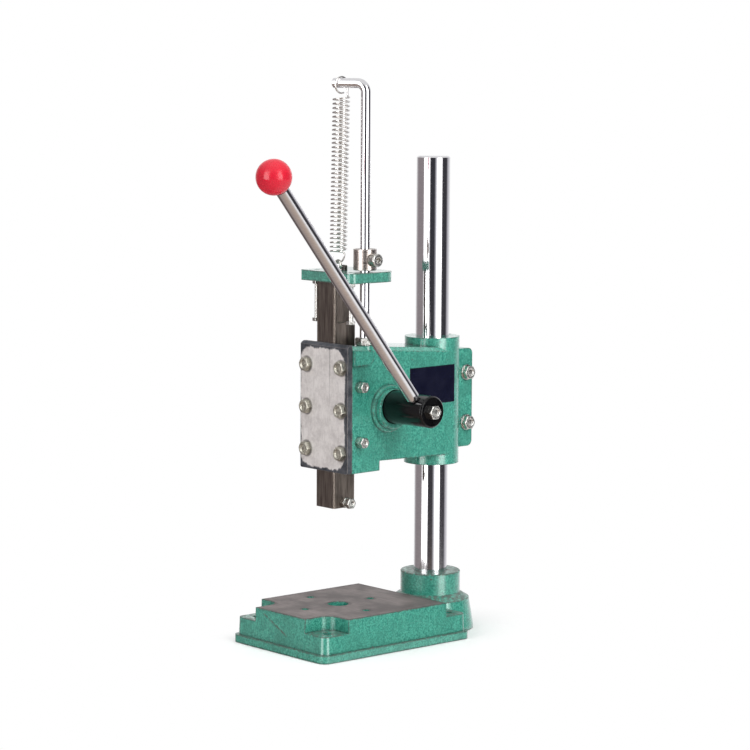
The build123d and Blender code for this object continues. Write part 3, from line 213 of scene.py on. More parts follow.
def cast_iron_enamel(name, worn_from=0.46, grey_share=0.0, milled_mm=None, scrape_ends=None):
    """Grey cast iron, sand cast, brushed with gloss green enamel. The sand's grain shows through as a
    pebbled mottle of light and dark green, brush marks run down the walls, painted shade darkens the creases
    and the places where pieces meet, and edges and high spots are chipped to dark grey iron, the more so the
    lower worn_from is. grey_share is the share of a flat grey mixed evenly over it. Where milled_mm is
    given, the face at that height is milled bare, and lower faces that look up are rubbed to the iron. Where
    scrape_ends is given, a long scrape crosses the front wall."""
    material, tree, shader, place = new_surface(name, Coat_Roughness=0.09)
    # Sand grain is 0.3 mm; drawn at 1.7 mm to show
    grain = add_node(tree, "ShaderNodeTexNoise", Vector=place, Scale=1 / (1.7 * MM), Detail=3.0,
                     Roughness=0.6)
    cloud = add_node(tree, "ShaderNodeTexNoise", Vector=place, Scale=1 / (24 * MM), Detail=4.0,
                     Roughness=0.6)
    ragged = add_node(tree, "ShaderNodeTexNoise", Vector=place, Scale=1 / (4 * MM), Detail=4.0,
                      Roughness=0.65)
    chips = add_node(tree, "ShaderNodeTexVoronoi", Vector=place, Scale=1 / (9 * MM))
    brushed = add_node(tree, "ShaderNodeVectorMath", MULTIPLY, _0=place, _1=(1.0, 1.0, 0.16))
    brushed = add_node(tree, "ShaderNodeTexNoise", Vector=brushed, Scale=1 / (2.6 * MM), Detail=2.0)
    body = add_node(tree, "ShaderNodeMix", FLOAT, _0=0.16, _2=grain, _3=brushed)
    light = add_node(tree, "ShaderNodeMapRange", SMOOTH, Value=body, From_Min=0.37, From_Max=0.65)
    green = add_node(tree, "ShaderNodeMix", COLOUR, _0=light, _6=linear("26786A"), _7=linear("50AA94"))
    shade = add_node(tree, "ShaderNodeMapRange", SMOOTH, Value=cloud, From_Min=0.42, From_Max=0.70,
                     To_Min=0.0, To_Max=0.4)
    green = add_node(tree, "ShaderNodeMix", COLOUR, _0=shade, _6=green.outputs[2], _7=linear("256F60"))
    # A flat grey mixed evenly over the whole surface
    if grey_share:
        green = add_node(tree, "ShaderNodeMix", COLOUR, _0=grey_share, _6=green.outputs[2], _7=linear("5A605C"))
    # Painted shade in creases, recesses and next to other pieces, where little of the surroundings is in
    # sight
    in_sight = add_node(tree, "ShaderNodeAmbientOcclusion", {"samples": 8}, Distance=5 * MM).outputs["AO"]
    painted_crease_shade = add_node(tree, "ShaderNodeMapRange", SMOOTH, Value=in_sight, From_Min=0.78, From_Max=0.45,
                      To_Min=0.0, To_Max=0.75)
    green = add_node(tree, "ShaderNodeMix", COLOUR, _0=painted_crease_shade, _6=green.outputs[2], _7=linear("1B2C26"))
    wear, rounded = worn_edge(tree, radius_mm=2.4, start=0.998, full=0.93)
    proud = add_node(tree, "ShaderNodeMapRange", SMOOTH, Value=in_sight, From_Min=0.80, From_Max=0.95)
    wear = add_node(tree, "ShaderNodeMath", MULTIPLY, _0=wear, _1=proud)
    torn = add_node(tree, "ShaderNodeMapRange", SMOOTH, Value=ragged, From_Min=worn_from,
                    From_Max=worn_from + 0.12)
    edge = add_node(tree, "ShaderNodeMath", MULTIPLY, _0=wear, _1=torn)
    chip = add_node(tree, "ShaderNodeMapRange", SMOOTH, Value=chips.outputs["Distance"],
                    From_Min=0.13, From_Max=0.09)
    rare = add_node(tree, "ShaderNodeMapRange", SMOOTH, Value=cloud, From_Min=0.58, From_Max=0.64)
    chip = add_node(tree, "ShaderNodeMath", MULTIPLY, _0=chip, _1=rare)
    bare = add_node(tree, "ShaderNodeMath", MAXIMUM, _0=edge, _1=chip)
    iron = add_node(tree, "ShaderNodeMix", COLOUR, _0=grain, _6=linear("232B28"), _7=linear("6B6B66"))
    rough = add_node(tree, "ShaderNodeMapRange", Value=cloud, From_Min=0.3, From_Max=0.7,
                     To_Min=0.22, To_Max=0.36)
    height = add_node(tree, "ShaderNodeMath", MULTIPLY_ADD, _0=cloud, _1=2.0, _2=body)
    if scrape_ends is not None:
        line = scrape(tree, place, ragged, scrape_ends)
        bare = add_node(tree, "ShaderNodeMath", MAXIMUM, _0=bare, _1=line)
    if milled_mm is not None:
        milled_colour, milled, upward = milled_face(tree, place, torn, milled_mm)
        rubbed = add_node(tree, "ShaderNodeMapRange", SMOOTH, Value=ragged, From_Min=0.34, From_Max=0.56,
                          To_Min=0.0, To_Max=0.85)
        rubbed = add_node(tree, "ShaderNodeMath", MULTIPLY, _0=rubbed, _1=upward)
        for share in (rubbed, milled):
            bare = add_node(tree, "ShaderNodeMath", MAXIMUM, _0=bare, _1=share)
        iron = add_node(tree, "ShaderNodeMix", COLOUR, _0=milled, _6=iron.outputs[2], _7=milled_colour)
        calm = add_node(tree, "ShaderNodeMath", MULTIPLY_ADD, _0=milled, _1=-0.85, _2=1.0)
        height = add_node(tree, "ShaderNodeMath", MULTIPLY, _0=height, _1=calm)
    colour = add_node(tree, "ShaderNodeMix", COLOUR, _0=bare, _6=green.outputs[2], _7=iron.outputs[2])
    dull = add_node(tree, "ShaderNodeMix", FLOAT, _0=bare, _2=rough, _3=0.55)
    varnish = add_node(tree, "ShaderNodeMath", SUBTRACT, _0=1.0, _1=bare)
    bump = add_node(tree, "ShaderNodeBump", Height=height, Distance=0.22 * MM, Normal=rounded)
    tree.links.new(colour.outputs[2], shader.inputs["Base Color"])
    tree.links.new(dull.outputs[0], shader.inputs["Roughness"])
    tree.links.new(varnish.outputs[0], shader.inputs["Coat Weight"])
    tree.links.new(bump.outputs[0], shader.inputs["Normal"])
    return material


def worked_steel(name, light, dark, roughness, grain_mm, draw=(1.0, 1.0, 1.0), bump_mm=0.01, edge=None):
    """Steel as a tool or a mill leaves it: two tones in a grain drawn out along the cut, and where edge is
    given, edges rubbed to that lighter colour, which also paints a highlight along them."""
    material, tree, shader, place = new_surface(name, Metallic=1.0)
    place = add_node(tree, "ShaderNodeVectorMath", MULTIPLY, _0=place, _1=draw)
    grain = add_node(tree, "ShaderNodeTexNoise", Vector=place, Scale=1 / (grain_mm * MM), Detail=4.0,
                     Roughness=0.6)
    tone = add_node(tree, "ShaderNodeMapRange", SMOOTH, Value=grain, From_Min=0.32, From_Max=0.68)
    colour = add_node(tree, "ShaderNodeMix", COLOUR, _0=tone, _6=linear(dark), _7=linear(light)).outputs[2]
    bump = add_node(tree, "ShaderNodeBump", Height=grain, Distance=bump_mm * MM)
    if edge is not None:
        # Edges rubbed to a lighter colour: wear, and a painted highlight along them
        wear, rounded = worn_edge(tree, radius_mm=0.9, start=0.99, full=0.88)
        colour = add_node(tree, "ShaderNodeMix", COLOUR, _0=wear, _6=colour, _7=linear(edge)).outputs[2]
        tree.links.new(rounded.outputs[0], bump.inputs["Normal"])
    rough = add_node(tree, "ShaderNodeMapRange", Value=grain, From_Min=0.3, From_Max=0.7,
                     To_Min=roughness * 0.85, To_Max=roughness * 1.2)
    tree.links.new(colour, shader.inputs["Base Color"])
    tree.links.new(rough.outputs[0], shader.inputs["Roughness"])
    tree.links.new(bump.outputs[0], shader.inputs["Normal"])
    return material


def blued_and_ground_plate(name):
    """Hot-rolled plate, blued by heat, then ground on its face after the corners: a pale, cloudy face with a
    ragged edge, in a border of dark blue-grey scale."""
    material, tree, shader, place = new_surface(name, Metallic=0.75)
    torn = add_node(tree, "ShaderNodeVectorMath", MULTIPLY, _0=place, _1=(1.0, 1.0, 0.45))
    ragged = add_node(tree, "ShaderNodeTexNoise", Vector=torn, Scale=1 / (6 * MM), Detail=6.0, Roughness=0.7)
    # How far a point on the plate's face lies outside the ground face's core
    middle_x, middle_z = PALE_MIDDLE_MM
    core_x, core_z = PALE_CORE_MM
    spot = add_node(tree, "ShaderNodeVectorMath", MULTIPLY_ADD, _0=place,
                    _1=(1.0, 0.0, 1.0), _2=(-middle_x * MM, 0.0, -middle_z * MM))
    spot = add_node(tree, "ShaderNodeVectorMath", ABSOLUTE, _0=spot)
    spot = add_node(tree, "ShaderNodeVectorMath", SUBTRACT, _0=spot, _1=(core_x * MM, 0.0, core_z * MM))
    spot = add_node(tree, "ShaderNodeVectorMath", MAXIMUM, _0=spot, _1=(0.0, 0.0, 0.0))
    out = add_node(tree, "ShaderNodeVectorMath", {"operation": "LENGTH"}, _0=spot)
    out = add_node(tree, "ShaderNodeMath", MULTIPLY_ADD, _0=ragged, _1=RAGGED_MM * MM,
                   _2=out.outputs["Value"])
    border = add_node(tree, "ShaderNodeMapRange", SMOOTH, Value=out,
                      From_Min=PALE_RIM_MM[0] * MM, From_Max=PALE_RIM_MM[1] * MM)
    # Painted shade in a ring round each bolt head: the face is wrapped so that the three rows fall on one
    # another
    wrap = PLATE_BOLT_PITCH_MM / 2 * MM
    head = add_node(tree, "ShaderNodeVectorMath", MULTIPLY_ADD, _0=place,
                    _1=(1.0, 0.0, 1.0), _2=(0.0, 0.0, -PLATE_BOLT_MIDDLE_MM * MM))
    head = add_node(tree, "ShaderNodeVectorMath", {"operation": "WRAP"}, _0=head,
                    _1=(1.0, 1.0, wrap), _2=(-1.0, -1.0, -wrap))
    head = add_node(tree, "ShaderNodeVectorMath", ABSOLUTE, _0=head)
    head = add_node(tree, "ShaderNodeVectorMath", SUBTRACT, _0=head, _1=(PLATE_BOLT_X_MM * MM, 0.0, 0.0))
    head = add_node(tree, "ShaderNodeVectorMath", {"operation": "LENGTH"}, _0=head)
    painted_bolt_shade = add_node(tree, "ShaderNodeMapRange", SMOOTH, Value=head.outputs["Value"],
                     From_Min=BOLT_SHADE_RADII_MM[1] * MM, From_Max=BOLT_SHADE_RADII_MM[0] * MM,
                     To_Min=0.0, To_Max=0.75)
    # Grinding scratches are 0.1 mm apart; drawn at 1.2 mm
    drawn = add_node(tree, "ShaderNodeVectorMath", MULTIPLY, _0=place, _1=(1.0, 1.0, 0.12))
    scratch = add_node(tree, "ShaderNodeTexNoise", Vector=drawn, Scale=1 / (1.2 * MM), Detail=3.0)
    cloud = add_node(tree, "ShaderNodeTexNoise", Vector=place, Scale=1 / (11 * MM), Detail=7.0,
                     Roughness=0.8)
    tone = add_node(tree, "ShaderNodeMapRange", SMOOTH, Value=cloud, From_Min=0.32, From_Max=0.62)
    ground = add_node(tree, "ShaderNodeMix", COLOUR, _0=tone, _6=linear("D6D2D0"), _7=linear("EFECEA"))
    shaded = add_node(tree, "ShaderNodeMapRange", SMOOTH, Value=scratch, From_Min=0.45, From_Max=0.75,
                      To_Min=0.0, To_Max=0.3)
    ground = add_node(tree, "ShaderNodeMix", COLOUR, _0=shaded, _6=ground.outputs[2], _7=linear("C4BEBB"))
    # One scribed line runs from the plate's top edge down to its middle
    core, edge = SCRIBED_HALF_WIDTHS_MM
    spots = add_node(tree, "ShaderNodeSeparateXYZ", Vector=place).outputs
    aside = add_node(tree, "ShaderNodeMath", SUBTRACT, _0=spots["X"], _1=SCRIBED_X_MM * MM)
    aside = add_node(tree, "ShaderNodeMath", ABSOLUTE, _0=aside)
    scribed = add_node(tree, "ShaderNodeMapRange", SMOOTH, Value=aside, From_Min=edge * MM,
                       From_Max=core * MM)
    fading = add_node(tree, "ShaderNodeMapRange", SMOOTH, Value=spots["Z"],
                      From_Min=SCRIBED_FADE_MM[0] * MM, From_Max=SCRIBED_FADE_MM[1] * MM,
                      To_Min=0.0, To_Max=0.6)
    scribed = add_node(tree, "ShaderNodeMath", MULTIPLY, _0=scribed, _1=fading)
    ground = add_node(tree, "ShaderNodeMix", COLOUR, _0=scribed, _6=ground.outputs[2], _7=linear("6C6866"))
    scale = add_node(tree, "ShaderNodeMix", COLOUR, _0=tone, _6=linear("3C3F45"), _7=linear("606268"))
    colour = add_node(tree, "ShaderNodeMix", COLOUR, _0=border, _6=ground.outputs[2], _7=scale.outputs[2])
    colour = add_node(tree, "ShaderNodeMix", COLOUR, _0=painted_bolt_shade, _6=colour.outputs[2], _7=linear("6A6662"))
    # Edges rubbed lighter: wear, and a painted highlight along them
    wear, rounded = worn_edge(tree, radius_mm=0.8, start=0.99, full=0.88)
    colour = add_node(tree, "ShaderNodeMix", COLOUR, _0=wear, _6=colour.outputs[2], _7=linear("9A9490"))
    rough = add_node(tree, "ShaderNodeMapRange", Value=cloud, From_Min=0.3, From_Max=0.7,
                     To_Min=0.44, To_Max=0.60)
    bump = add_node(tree, "ShaderNodeBump", Height=scratch, Distance=0.012 * MM, Normal=rounded)
    tree.links.new(colour.outputs[2], shader.inputs["Base Color"])
    tree.links.new(rough.outputs[0], shader.inputs["Roughness"])
    tree.links.new(bump.outputs[0], shader.inputs["Normal"])
    return material


def glossy_coat(name, light, dark, roughness, cell_mm, scuff=None, scuff_from=None):
    """A smooth poured or sprayed coat: nearly one colour, a clear gloss that is duller where it was handled,
    and where scuff is given, patches rubbed to that colour."""
    material, tree, shader, place = new_surface(name, Specular_IOR_Level=0.4)
    cloud = add_node(tree, "ShaderNodeTexNoise", Vector=place, Scale=1 / (cell_mm * MM), Detail=4.0)
    colour = add_node(tree, "ShaderNodeMix", COLOUR, _0=cloud, _6=linear(dark), _7=linear(light)).outputs[2]
    if scuff is not None:
        fine = add_node(tree, "ShaderNodeTexNoise", Vector=place, Scale=1 / (2.4 * MM), Detail=5.0,
                        Roughness=0.7)
        rubbed = add_node(tree, "ShaderNodeMapRange", SMOOTH, Value=fine, From_Min=scuff_from,
                          From_Max=scuff_from + 0.06)
        colour = add_node(tree, "ShaderNodeMix", COLOUR, _0=rubbed, _6=colour, _7=linear(scuff)).outputs[2]
    rough = add_node(tree, "ShaderNodeMapRange", Value=cloud, From_Min=0.35, From_Max=0.65,
                     To_Min=roughness * 0.8, To_Max=roughness * 1.5)
    rounded = add_node(tree, "ShaderNodeBevel", {"samples": 4}, Radius=0.9 * MM)
    tree.links.new(colour, shader.inputs["Base Color"])
    tree.links.new(rough.outputs[0], shader.inputs["Roughness"])
    tree.links.new(rounded.outputs[0], shader.inputs["Normal"])
    return material


# The head; the base, with its table milled bare; and the top plate, in a copy greyed evenly all over
green_enamel = cast_iron_enamel("green_enamel_on_sand_cast_iron")
green_enamel_milled = cast_iron_enamel("green_enamel_with_milled_table", worn_from=0.36,
                                       milled_mm=TABLE_TOP_MM, scrape_ends=SCRAPE_ENDS_MM)
greyed_enamel = cast_iron_enamel("greyed_green_enamel", worn_from=0.36, grey_share=0.2)
# Hard chrome, ground and polished: a clean mirror with barely seen grinding rings
chromed_bar = worked_steel("hard_chromed_ground_bar", "EAE9EB", "DFDEE1", roughness=0.09, grain_mm=0.8,
                           draw=(0.2, 0.2, 1.0), bump_mm=0.001)
# Zinc plate passivated yellow-green, on the plate's bolts: soft silver with that cast, cloudy from the bath
yellow_zinc = worked_steel("yellow_passivated_zinc_plate", "CFCDC0", "A3A296", roughness=0.42, grain_mm=2.0,
                           bump_mm=0.006, edge="E0DED2")
# Zinc plate passivated clear, on the other screws: a cooler and brighter silver
clear_zinc = worked_steel("clear_passivated_zinc_plate", "DEDDD8", "B2B1AB", roughness=0.28, grain_mm=2.0,
                          bump_mm=0.006, edge="F2F1EE")
# Free-cutting steel off the lathe: fine rings round its axis, warm grey
turned_steel = worked_steel("turned_free_cutting_steel", "C4BBB6", "938A84", roughness=0.30, grain_mm=0.6,
                            draw=(0.05, 0.05, 1.0), edge="F0EBE8")
# Nickel-plated music wire: bright and smooth, a little warm
spring_wire = worked_steel("nickel_plated_music_wire", "ECEAE8", "D6D4D1", roughness=0.12, grain_mm=0.8,
                           bump_mm=0.001)
# Cold-drawn bar left in its scale: dark brown, streaked along its length, edges rubbed lighter, also a
# painted highlight
drawn_bar = worked_steel("scaled_drawn_bar_steel", "7C736C", "5C544F", roughness=0.42, grain_mm=1.6,
                         draw=(1.0, 1.0, 0.06), bump_mm=0.02, edge="ADA298")
# The front plate: a pale, cloudy, ground face in a dark border
ground_plate = blued_and_ground_plate("blued_and_ground_plate")
# Ground flat bar, oiled: mid grey, drawn along its length
ground_bar = worked_steel("ground_flat_bar", "A19C98", "7D7875", roughness=0.34, grain_mm=0.8,
                          draw=(1.0, 1.0, 0.08))
# Hobbed gear steel, oiled: darker grey with cutter marks across the teeth
gear_steel = worked_steel("hobbed_gear_steel", "8F8C88", "625F5C", roughness=0.35, grain_mm=1.0,
                          draw=(0.1, 1.0, 1.0))
# Cast tin bronze, turned: warm brown-yellow
bearing_bronze = worked_steel("turned_tin_bronze", "B88C4F", "94692F", roughness=0.33, grain_mm=1.0,
                              draw=(1.0, 0.1, 0.1))
# Black oxide, oiled, on the column's set screw: deep black with a satin gloss
black_oxide = glossy_coat("oiled_black_oxide", "1A1A1C", "0C0C0D", roughness=0.30, cell_mm=6.0,
                          scuff="2E2D2D", scuff_from=0.68)
# Baked black enamel on the turned hub: near black, high gloss, scuffed to grey specks
black_enamel = glossy_coat("baked_black_enamel", "08080A", "040405", roughness=0.14, cell_mm=14.0,
                           scuff="35302E", scuff_from=0.68)
# Cast phenolic resin, polished: saturated red with a wet gloss
red_phenolic = glossy_coat("polished_red_phenolic", "CB1F33", "BC182D", roughness=0.20, cell_mm=14.0)
# Aluminium sheet coated dark blue: flat colour with a plastic gloss, dulled in specks
name_sheet = glossy_coat("coated_blue_aluminium_sheet", "12142A", "0A0B1B", roughness=0.14, cell_mm=20.0,
                         scuff="2C2D3C", scuff_from=0.72)

FINISH = {
    "base": green_enamel_milled, "column": chromed_bar, "head": green_enamel, "front_plate": ground_plate,
    "front_plate_bolts": yellow_zinc, "gib": ground_bar, "gib_bolts": clear_zinc, "gib_locknuts": clear_zinc,
    "clamp_bolts": clear_zinc, "clamp_washers": clear_zinc, "clamp_nuts": clear_zinc,
    "name_plate": name_sheet, "shaft_bush_left": bearing_bronze, "shaft_bush_right": bearing_bronze,
    "spring_hanger": chromed_bar, "hanger_locknut": clear_zinc, "return_spring": spring_wire,
    "pinion": gear_steel, "pinion_shaft": gear_steel, "shaft_keys": gear_steel,
    "shaft_end_washer": clear_zinc, "shaft_end_bolt": clear_zinc, "lever_hub": black_enamel,
    "hub_bolt": clear_zinc, "lever_rod": chromed_bar, "ball_knob": red_phenolic, "ram": drawn_bar,
    "top_plate": greyed_enamel, "top_plate_screws": gear_steel, "stop_locknuts": clear_zinc,
    "spring_eye": clear_zinc, "die_screw": clear_zinc, "die_screw_locknut": clear_zinc,
    "stop_bolt_left": clear_zinc, "stop_bolt_right": clear_zinc, "stop_collar": turned_steel,
    "collar_screw": clear_zinc, "column_set_screw": black_oxide,
}
for node, material in FINISH.items():
    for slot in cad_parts[node].material_slots:
        slot.material = material

# ---------------------------------------------------------------------------
# Bolts and nuts in full: turned crowns, dished heads and real threads
# ---------------------------------------------------------------------------

ROUND_STEPS = 48           # points round a head, a multiple of six so that the corners are met
CROWN_SLOPE = tan(radians(30))
CROWN_SHARE = 0.475        # of the size across flats: the flat circle inside the turned crown
RIM_SHARE = 0.34           # where the head's top starts to dip
DISH_SHARE = 0.27          # the dish's floor
DISH_MM = 0.9
DISH_MIDDLE = (0.4, 0.8)   # its raised middle, in shares of the floor's radius and depth
MOUTH_MM = 0.4             # the bevel at a nut's thread
THREAD_DEPTH = 0.6         # of the pitch
NUT_PLAY_MM = 0.05         # between a nut's hole and its thread
MERGED = 1e-7              # points this close become one


def solids_of(node):
    """The lowest and highest corner of each separate solid in a CAD node."""
    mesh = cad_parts[node].data
    keys = [tuple(round(c / MM, 2) for c in vertex.co) for vertex in mesh.vertices]
    leader = {key: key for key in keys}

    def lead(key):
        while leader[key] != key:
            leader[key] = leader[leader[key]]
            key = leader[key]
        return key

    for face in mesh.polygons:
        first = lead(keys[face.vertices[0]])
        for number in face.vertices[1:]:
            leader[lead(keys[number])] = first
    groups = {}
    for vertex, key in zip(mesh.vertices, keys):
        groups.setdefault(lead(key), []).append(vertex.co)
    boxes = []
    for points in groups.values():
        low = Vector([min(point[i] for point in points) for i in range(3)])
        high = Vector([max(point[i] for point in points) for i in range(3)])
        boxes.append((low, high))
    return sorted(boxes, key=lambda box: tuple(round(c / MM) for c in box[0]))


def ring(shape, seat, turn, radius_at, height_at):
    """One ring of points round a fastener's axis; seat is its frame and turn its first angle."""
    points = []
    for step in range(ROUND_STEPS):
        angle = 2 * pi * step / ROUND_STEPS
        radius = radius_at(angle)
        spin = angle + turn
        place = Vector((radius * cos(spin), radius * sin(spin), height_at(radius)))
        points.append(shape.verts.new(seat @ place))
    return points


def skin(shape, rings, close):
    """Faces between rings, capped at both ends or closed round into a tube."""
    pairs = list(zip(rings, rings[1:])) + ([(rings[-1], rings[0])] if close else [])
    for lower, upper in pairs:
        for step in range(ROUND_STEPS):
            after = (step + 1) % ROUND_STEPS
            shape.faces.new((lower[step], lower[after], upper[after], upper[step]))
    if not close:
        shape.faces.new(list(reversed(rings[0])))
        shape.faces.new(rings[-1])


def hexagon(flats):
    """Distance from the axis to a hexagon's side at an angle, a corner at 0."""
    return lambda angle: flats / 2 / cos(angle % (pi / 3) - pi / 6)


def hex_head(shape, seat, turn, flats, height):
    """A bolt's head: hexagon, crown turned at 30 degrees, and a shallow dish stamped in its top."""
    side = hexagon(flats)
    crown, rim, dish = CROWN_SHARE * flats, RIM_SHARE * flats, DISH_SHARE * flats
    depth = DISH_MM * MM
    middle, sunk = DISH_MIDDLE
    skin(shape, [
        ring(shape, seat, turn, side, lambda r: 0.0),
        ring(shape, seat, turn, side, lambda r: height - max(r - crown, 0.0) * CROWN_SLOPE),
        ring(shape, seat, turn, lambda a: crown, lambda r: height),
        ring(shape, seat, turn, lambda a: rim, lambda r: height),
        ring(shape, seat, turn, lambda a: dish, lambda r: height - depth),
        ring(shape, seat, turn, lambda a: dish * middle, lambda r: height - depth * sunk),
    ], close=False)


def hex_nut(shape, seat, turn, flats, height, hole):
    """A nut: both its faces crowned, its thread's mouth bevelled."""
    side = hexagon(flats)
    crown = CROWN_SHARE * flats
    bevel = MOUTH_MM * MM
    skin(shape, [
        ring(shape, seat, turn, lambda a: hole, lambda r: 0.0),
        ring(shape, seat, turn, lambda a: crown, lambda r: 0.0),
        ring(shape, seat, turn, side, lambda r: max(r - crown, 0.0) * CROWN_SLOPE),
        ring(shape, seat, turn, side, lambda r: height - max(r - crown, 0.0) * CROWN_SLOPE),
        ring(shape, seat, turn, lambda a: crown, lambda r: height),
        ring(shape, seat, turn, lambda a: hole + bevel, lambda r: height),
        ring(shape, seat, turn, lambda a: hole, lambda r: height - bevel),
    ], close=True)


def thread(shape, seat, radius, start, end, pitch):
    """A helical thread from start to end along the seat's axis, capped at both ends. Its rows lie half a
    pitch apart, on the crest and in the root by turns, and each row's end joins the row two further on."""
    root = radius - THREAD_DEPTH * pitch
    rows = int(2 * (end - start) / pitch) + 4
    grid = []
    for row in range(rows):
        line = []
        for step in range(ROUND_STEPS):
            angle = 2 * pi * step / ROUND_STEPS
            rise = min(max(start + (row / 2 - 1 + step / ROUND_STEPS) * pitch, start), end)
            reach = radius if row % 2 else root
            line.append(shape.verts.new(seat @ Vector((reach * cos(angle), reach * sin(angle), rise))))
        grid.append(line)
    for row in range(rows - 1):
        lower, upper = grid[row], grid[row + 1]
        for step in range(ROUND_STEPS - 1):
            shape.faces.new((lower[step], lower[step + 1], upper[step + 1], upper[step]))
        if row + 3 < rows:
            shape.faces.new((lower[-1], grid[row + 2][0], grid[row + 3][0], upper[-1]))
    shape.faces.new(list(reversed(grid[0])))
    shape.faces.new(grid[-1])


def seat_at(place, axis):
    """A fastener's frame: its seat at a place, its axis along +-X, +-Y or +-Z."""
    axis = Vector(axis)
    across = Vector((0, 1, 0)) if abs(axis.x) > 0.5 else Vector((1, 0, 0))
    return Matrix.Translation(place) @ Matrix((across, axis.cross(across), axis)).transposed().to_4x4()


def fastener_piece(name, node, body, build):
    """A detailed piece that stands for a CAD node of bolts or nuts; build adds one solid's shapes."""
    shape = bmesh.new()
    for number, (low, high) in enumerate(solids_of(node)):
        build(shape, low, high, number)
    bmesh.ops.remove_doubles(shape, verts=shape.verts, dist=MERGED)
    bmesh.ops.recalc_face_normals(shape, faces=shape.faces)
    mesh = bpy.data.meshes.new(name)
    shape.to_mesh(mesh)
    shape.free()
    piece = bpy.data.objects.new(name, mesh)
    bpy.context.scene.collection.objects.link(piece)
    mesh.materials.append(FINISH[node])
    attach(piece, body)
    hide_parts(node)


def bolt(axis, size):
    """How one bolt is built in its CAD solid's box, its head at the axis's far end. Each bolt of a node is
    turned a radian from the last, as they came to rest."""
    axis = Vector(axis)
    flats, head, radius, pitch = (value * MM for value in size)

    def build(shape, low, high, number):
        near, far = (low, high) if sum(axis) > 0 else (high, low)
        middle = (low + high) / 2
        place = Vector([far[i] if axis[i] else middle[i] for i in range(3)]) - axis * head
        length = abs((far - near).dot(axis)) - head
        seat = seat_at(place, axis)
        hex_head(shape, seat, number, flats, head)
        thread(shape, seat, radius, -length, 0.0, pitch)

    return build


def nut(axis, size):
    """How one nut is built in its CAD solid's box."""
    axis = Vector(axis)
    flats, _, radius, _ = (value * MM for value in size)

    def build(shape, low, high, _):
        near = low if sum(axis) > 0 else high
        middle = (low + high) / 2
        place = Vector([near[i] if axis[i] else middle[i] for i in range(3)])
        height = abs((high - low).dot(axis))
        hex_nut(shape, seat_at(place, axis), 0.0, flats, height, radius + NUT_PLAY_MM * MM)

    return build


# Sizes in mm: across flats, head height, thread radius, coarse pitch
M5 = (8.0, 3.5, 2.5, 0.8)
M6 = (10.0, 4.0, 3.0, 1.0)
M8 = (13.0, 5.3, 4.0, 1.25)
M10 = (17.0, 6.4, 5.0, 1.5)
FASTENERS = [
    ("plate_hex_bolts", "front_plate_bolts", "head", bolt((0, -1, 0), M8)),
    ("gib_hex_screws", "gib_bolts", "head", bolt((1, 0, 0), M6)),
    ("gib_hex_nuts", "gib_locknuts", "head", nut((1, 0, 0), M6)),
    ("clamp_hex_bolts", "clamp_bolts", "head", bolt((1, 0, 0), M8)),
    ("clamp_hex_nuts", "clamp_nuts", "head", nut((-1, 0, 0), M8)),
    ("hanger_hex_nut", "hanger_locknut", "head", nut((0, 0, 1), M10)),
    ("shaft_end_hex_bolt", "shaft_end_bolt", "lever", bolt((-1, 0, 0), M8)),
    ("hub_hex_bolt", "hub_bolt", "lever", bolt((1, 0, 0), M8)),
    ("die_hex_screw", "die_screw", "ram", bolt((1, 0, 0), M6)),
    ("die_hex_nut", "die_screw_locknut", "ram", nut((1, 0, 0), M6)),
    ("left_stop_hex_bolt", "stop_bolt_left", "left_stop", bolt((0, 0, -1), M5)),
    ("right_stop_hex_bolt", "stop_bolt_right", "right_stop", bolt((0, 0, -1), M5)),
    ("stop_hex_nuts", "stop_locknuts", "ram", nut((0, 0, -1), M5)),
]
for name, node, body, build in FASTENERS:
    fastener_piece(name, node, body, build)

# ---------------------------------------------------------------------------
# Return spring: the CAD spring copied as one smooth-shaded wire mesh in its own finish
# ---------------------------------------------------------------------------

shape = bmesh.new()
shape.from_mesh(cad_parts["return_spring"].data)
spring_mesh = bpy.data.meshes.new("return_spring_wire")
shape.to_mesh(spring_mesh)
shape.free()
for face in spring_mesh.polygons:
    face.use_smooth = True
spring_mesh.materials.clear()
spring_mesh.materials.append(spring_wire)
spring = bpy.data.objects.new("return_spring_wire", spring_mesh)
bpy.context.scene.collection.objects.link(spring)
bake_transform(spring)
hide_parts("return_spring")

# ---------------------------------------------------------------------------
# Floor, light and the white surroundings
# ---------------------------------------------------------------------------

FLOOR_RADIUS = 3.0
FLOOR_SIDES = 96
FLOOR_DROP = 0.0005        # under the object's foot
FOOT_SHADE = (0.09, 0.15)  # half width and depth of the oval round the foot inside which shadow shows
FOOT_MIDDLE_Y = 0.04
FADE = (0.85, 1.5)         # in shares of that oval, from shadow to pure white
SHADOW_GREY = 0.9
floor_mesh = bpy.data.meshes.new("floor")
shape = bmesh.new()
bmesh.ops.create_circle(shape, cap_ends=True, radius=FLOOR_RADIUS, segments=FLOOR_SIDES)
shape.to_mesh(floor_mesh)
shape.free()
floor = bpy.data.objects.new("floor", floor_mesh)
bpy.context.scene.collection.objects.link(floor)
floor.location = (0.0, 0.0, -FLOOR_DROP)
floor.visible_glossy = False

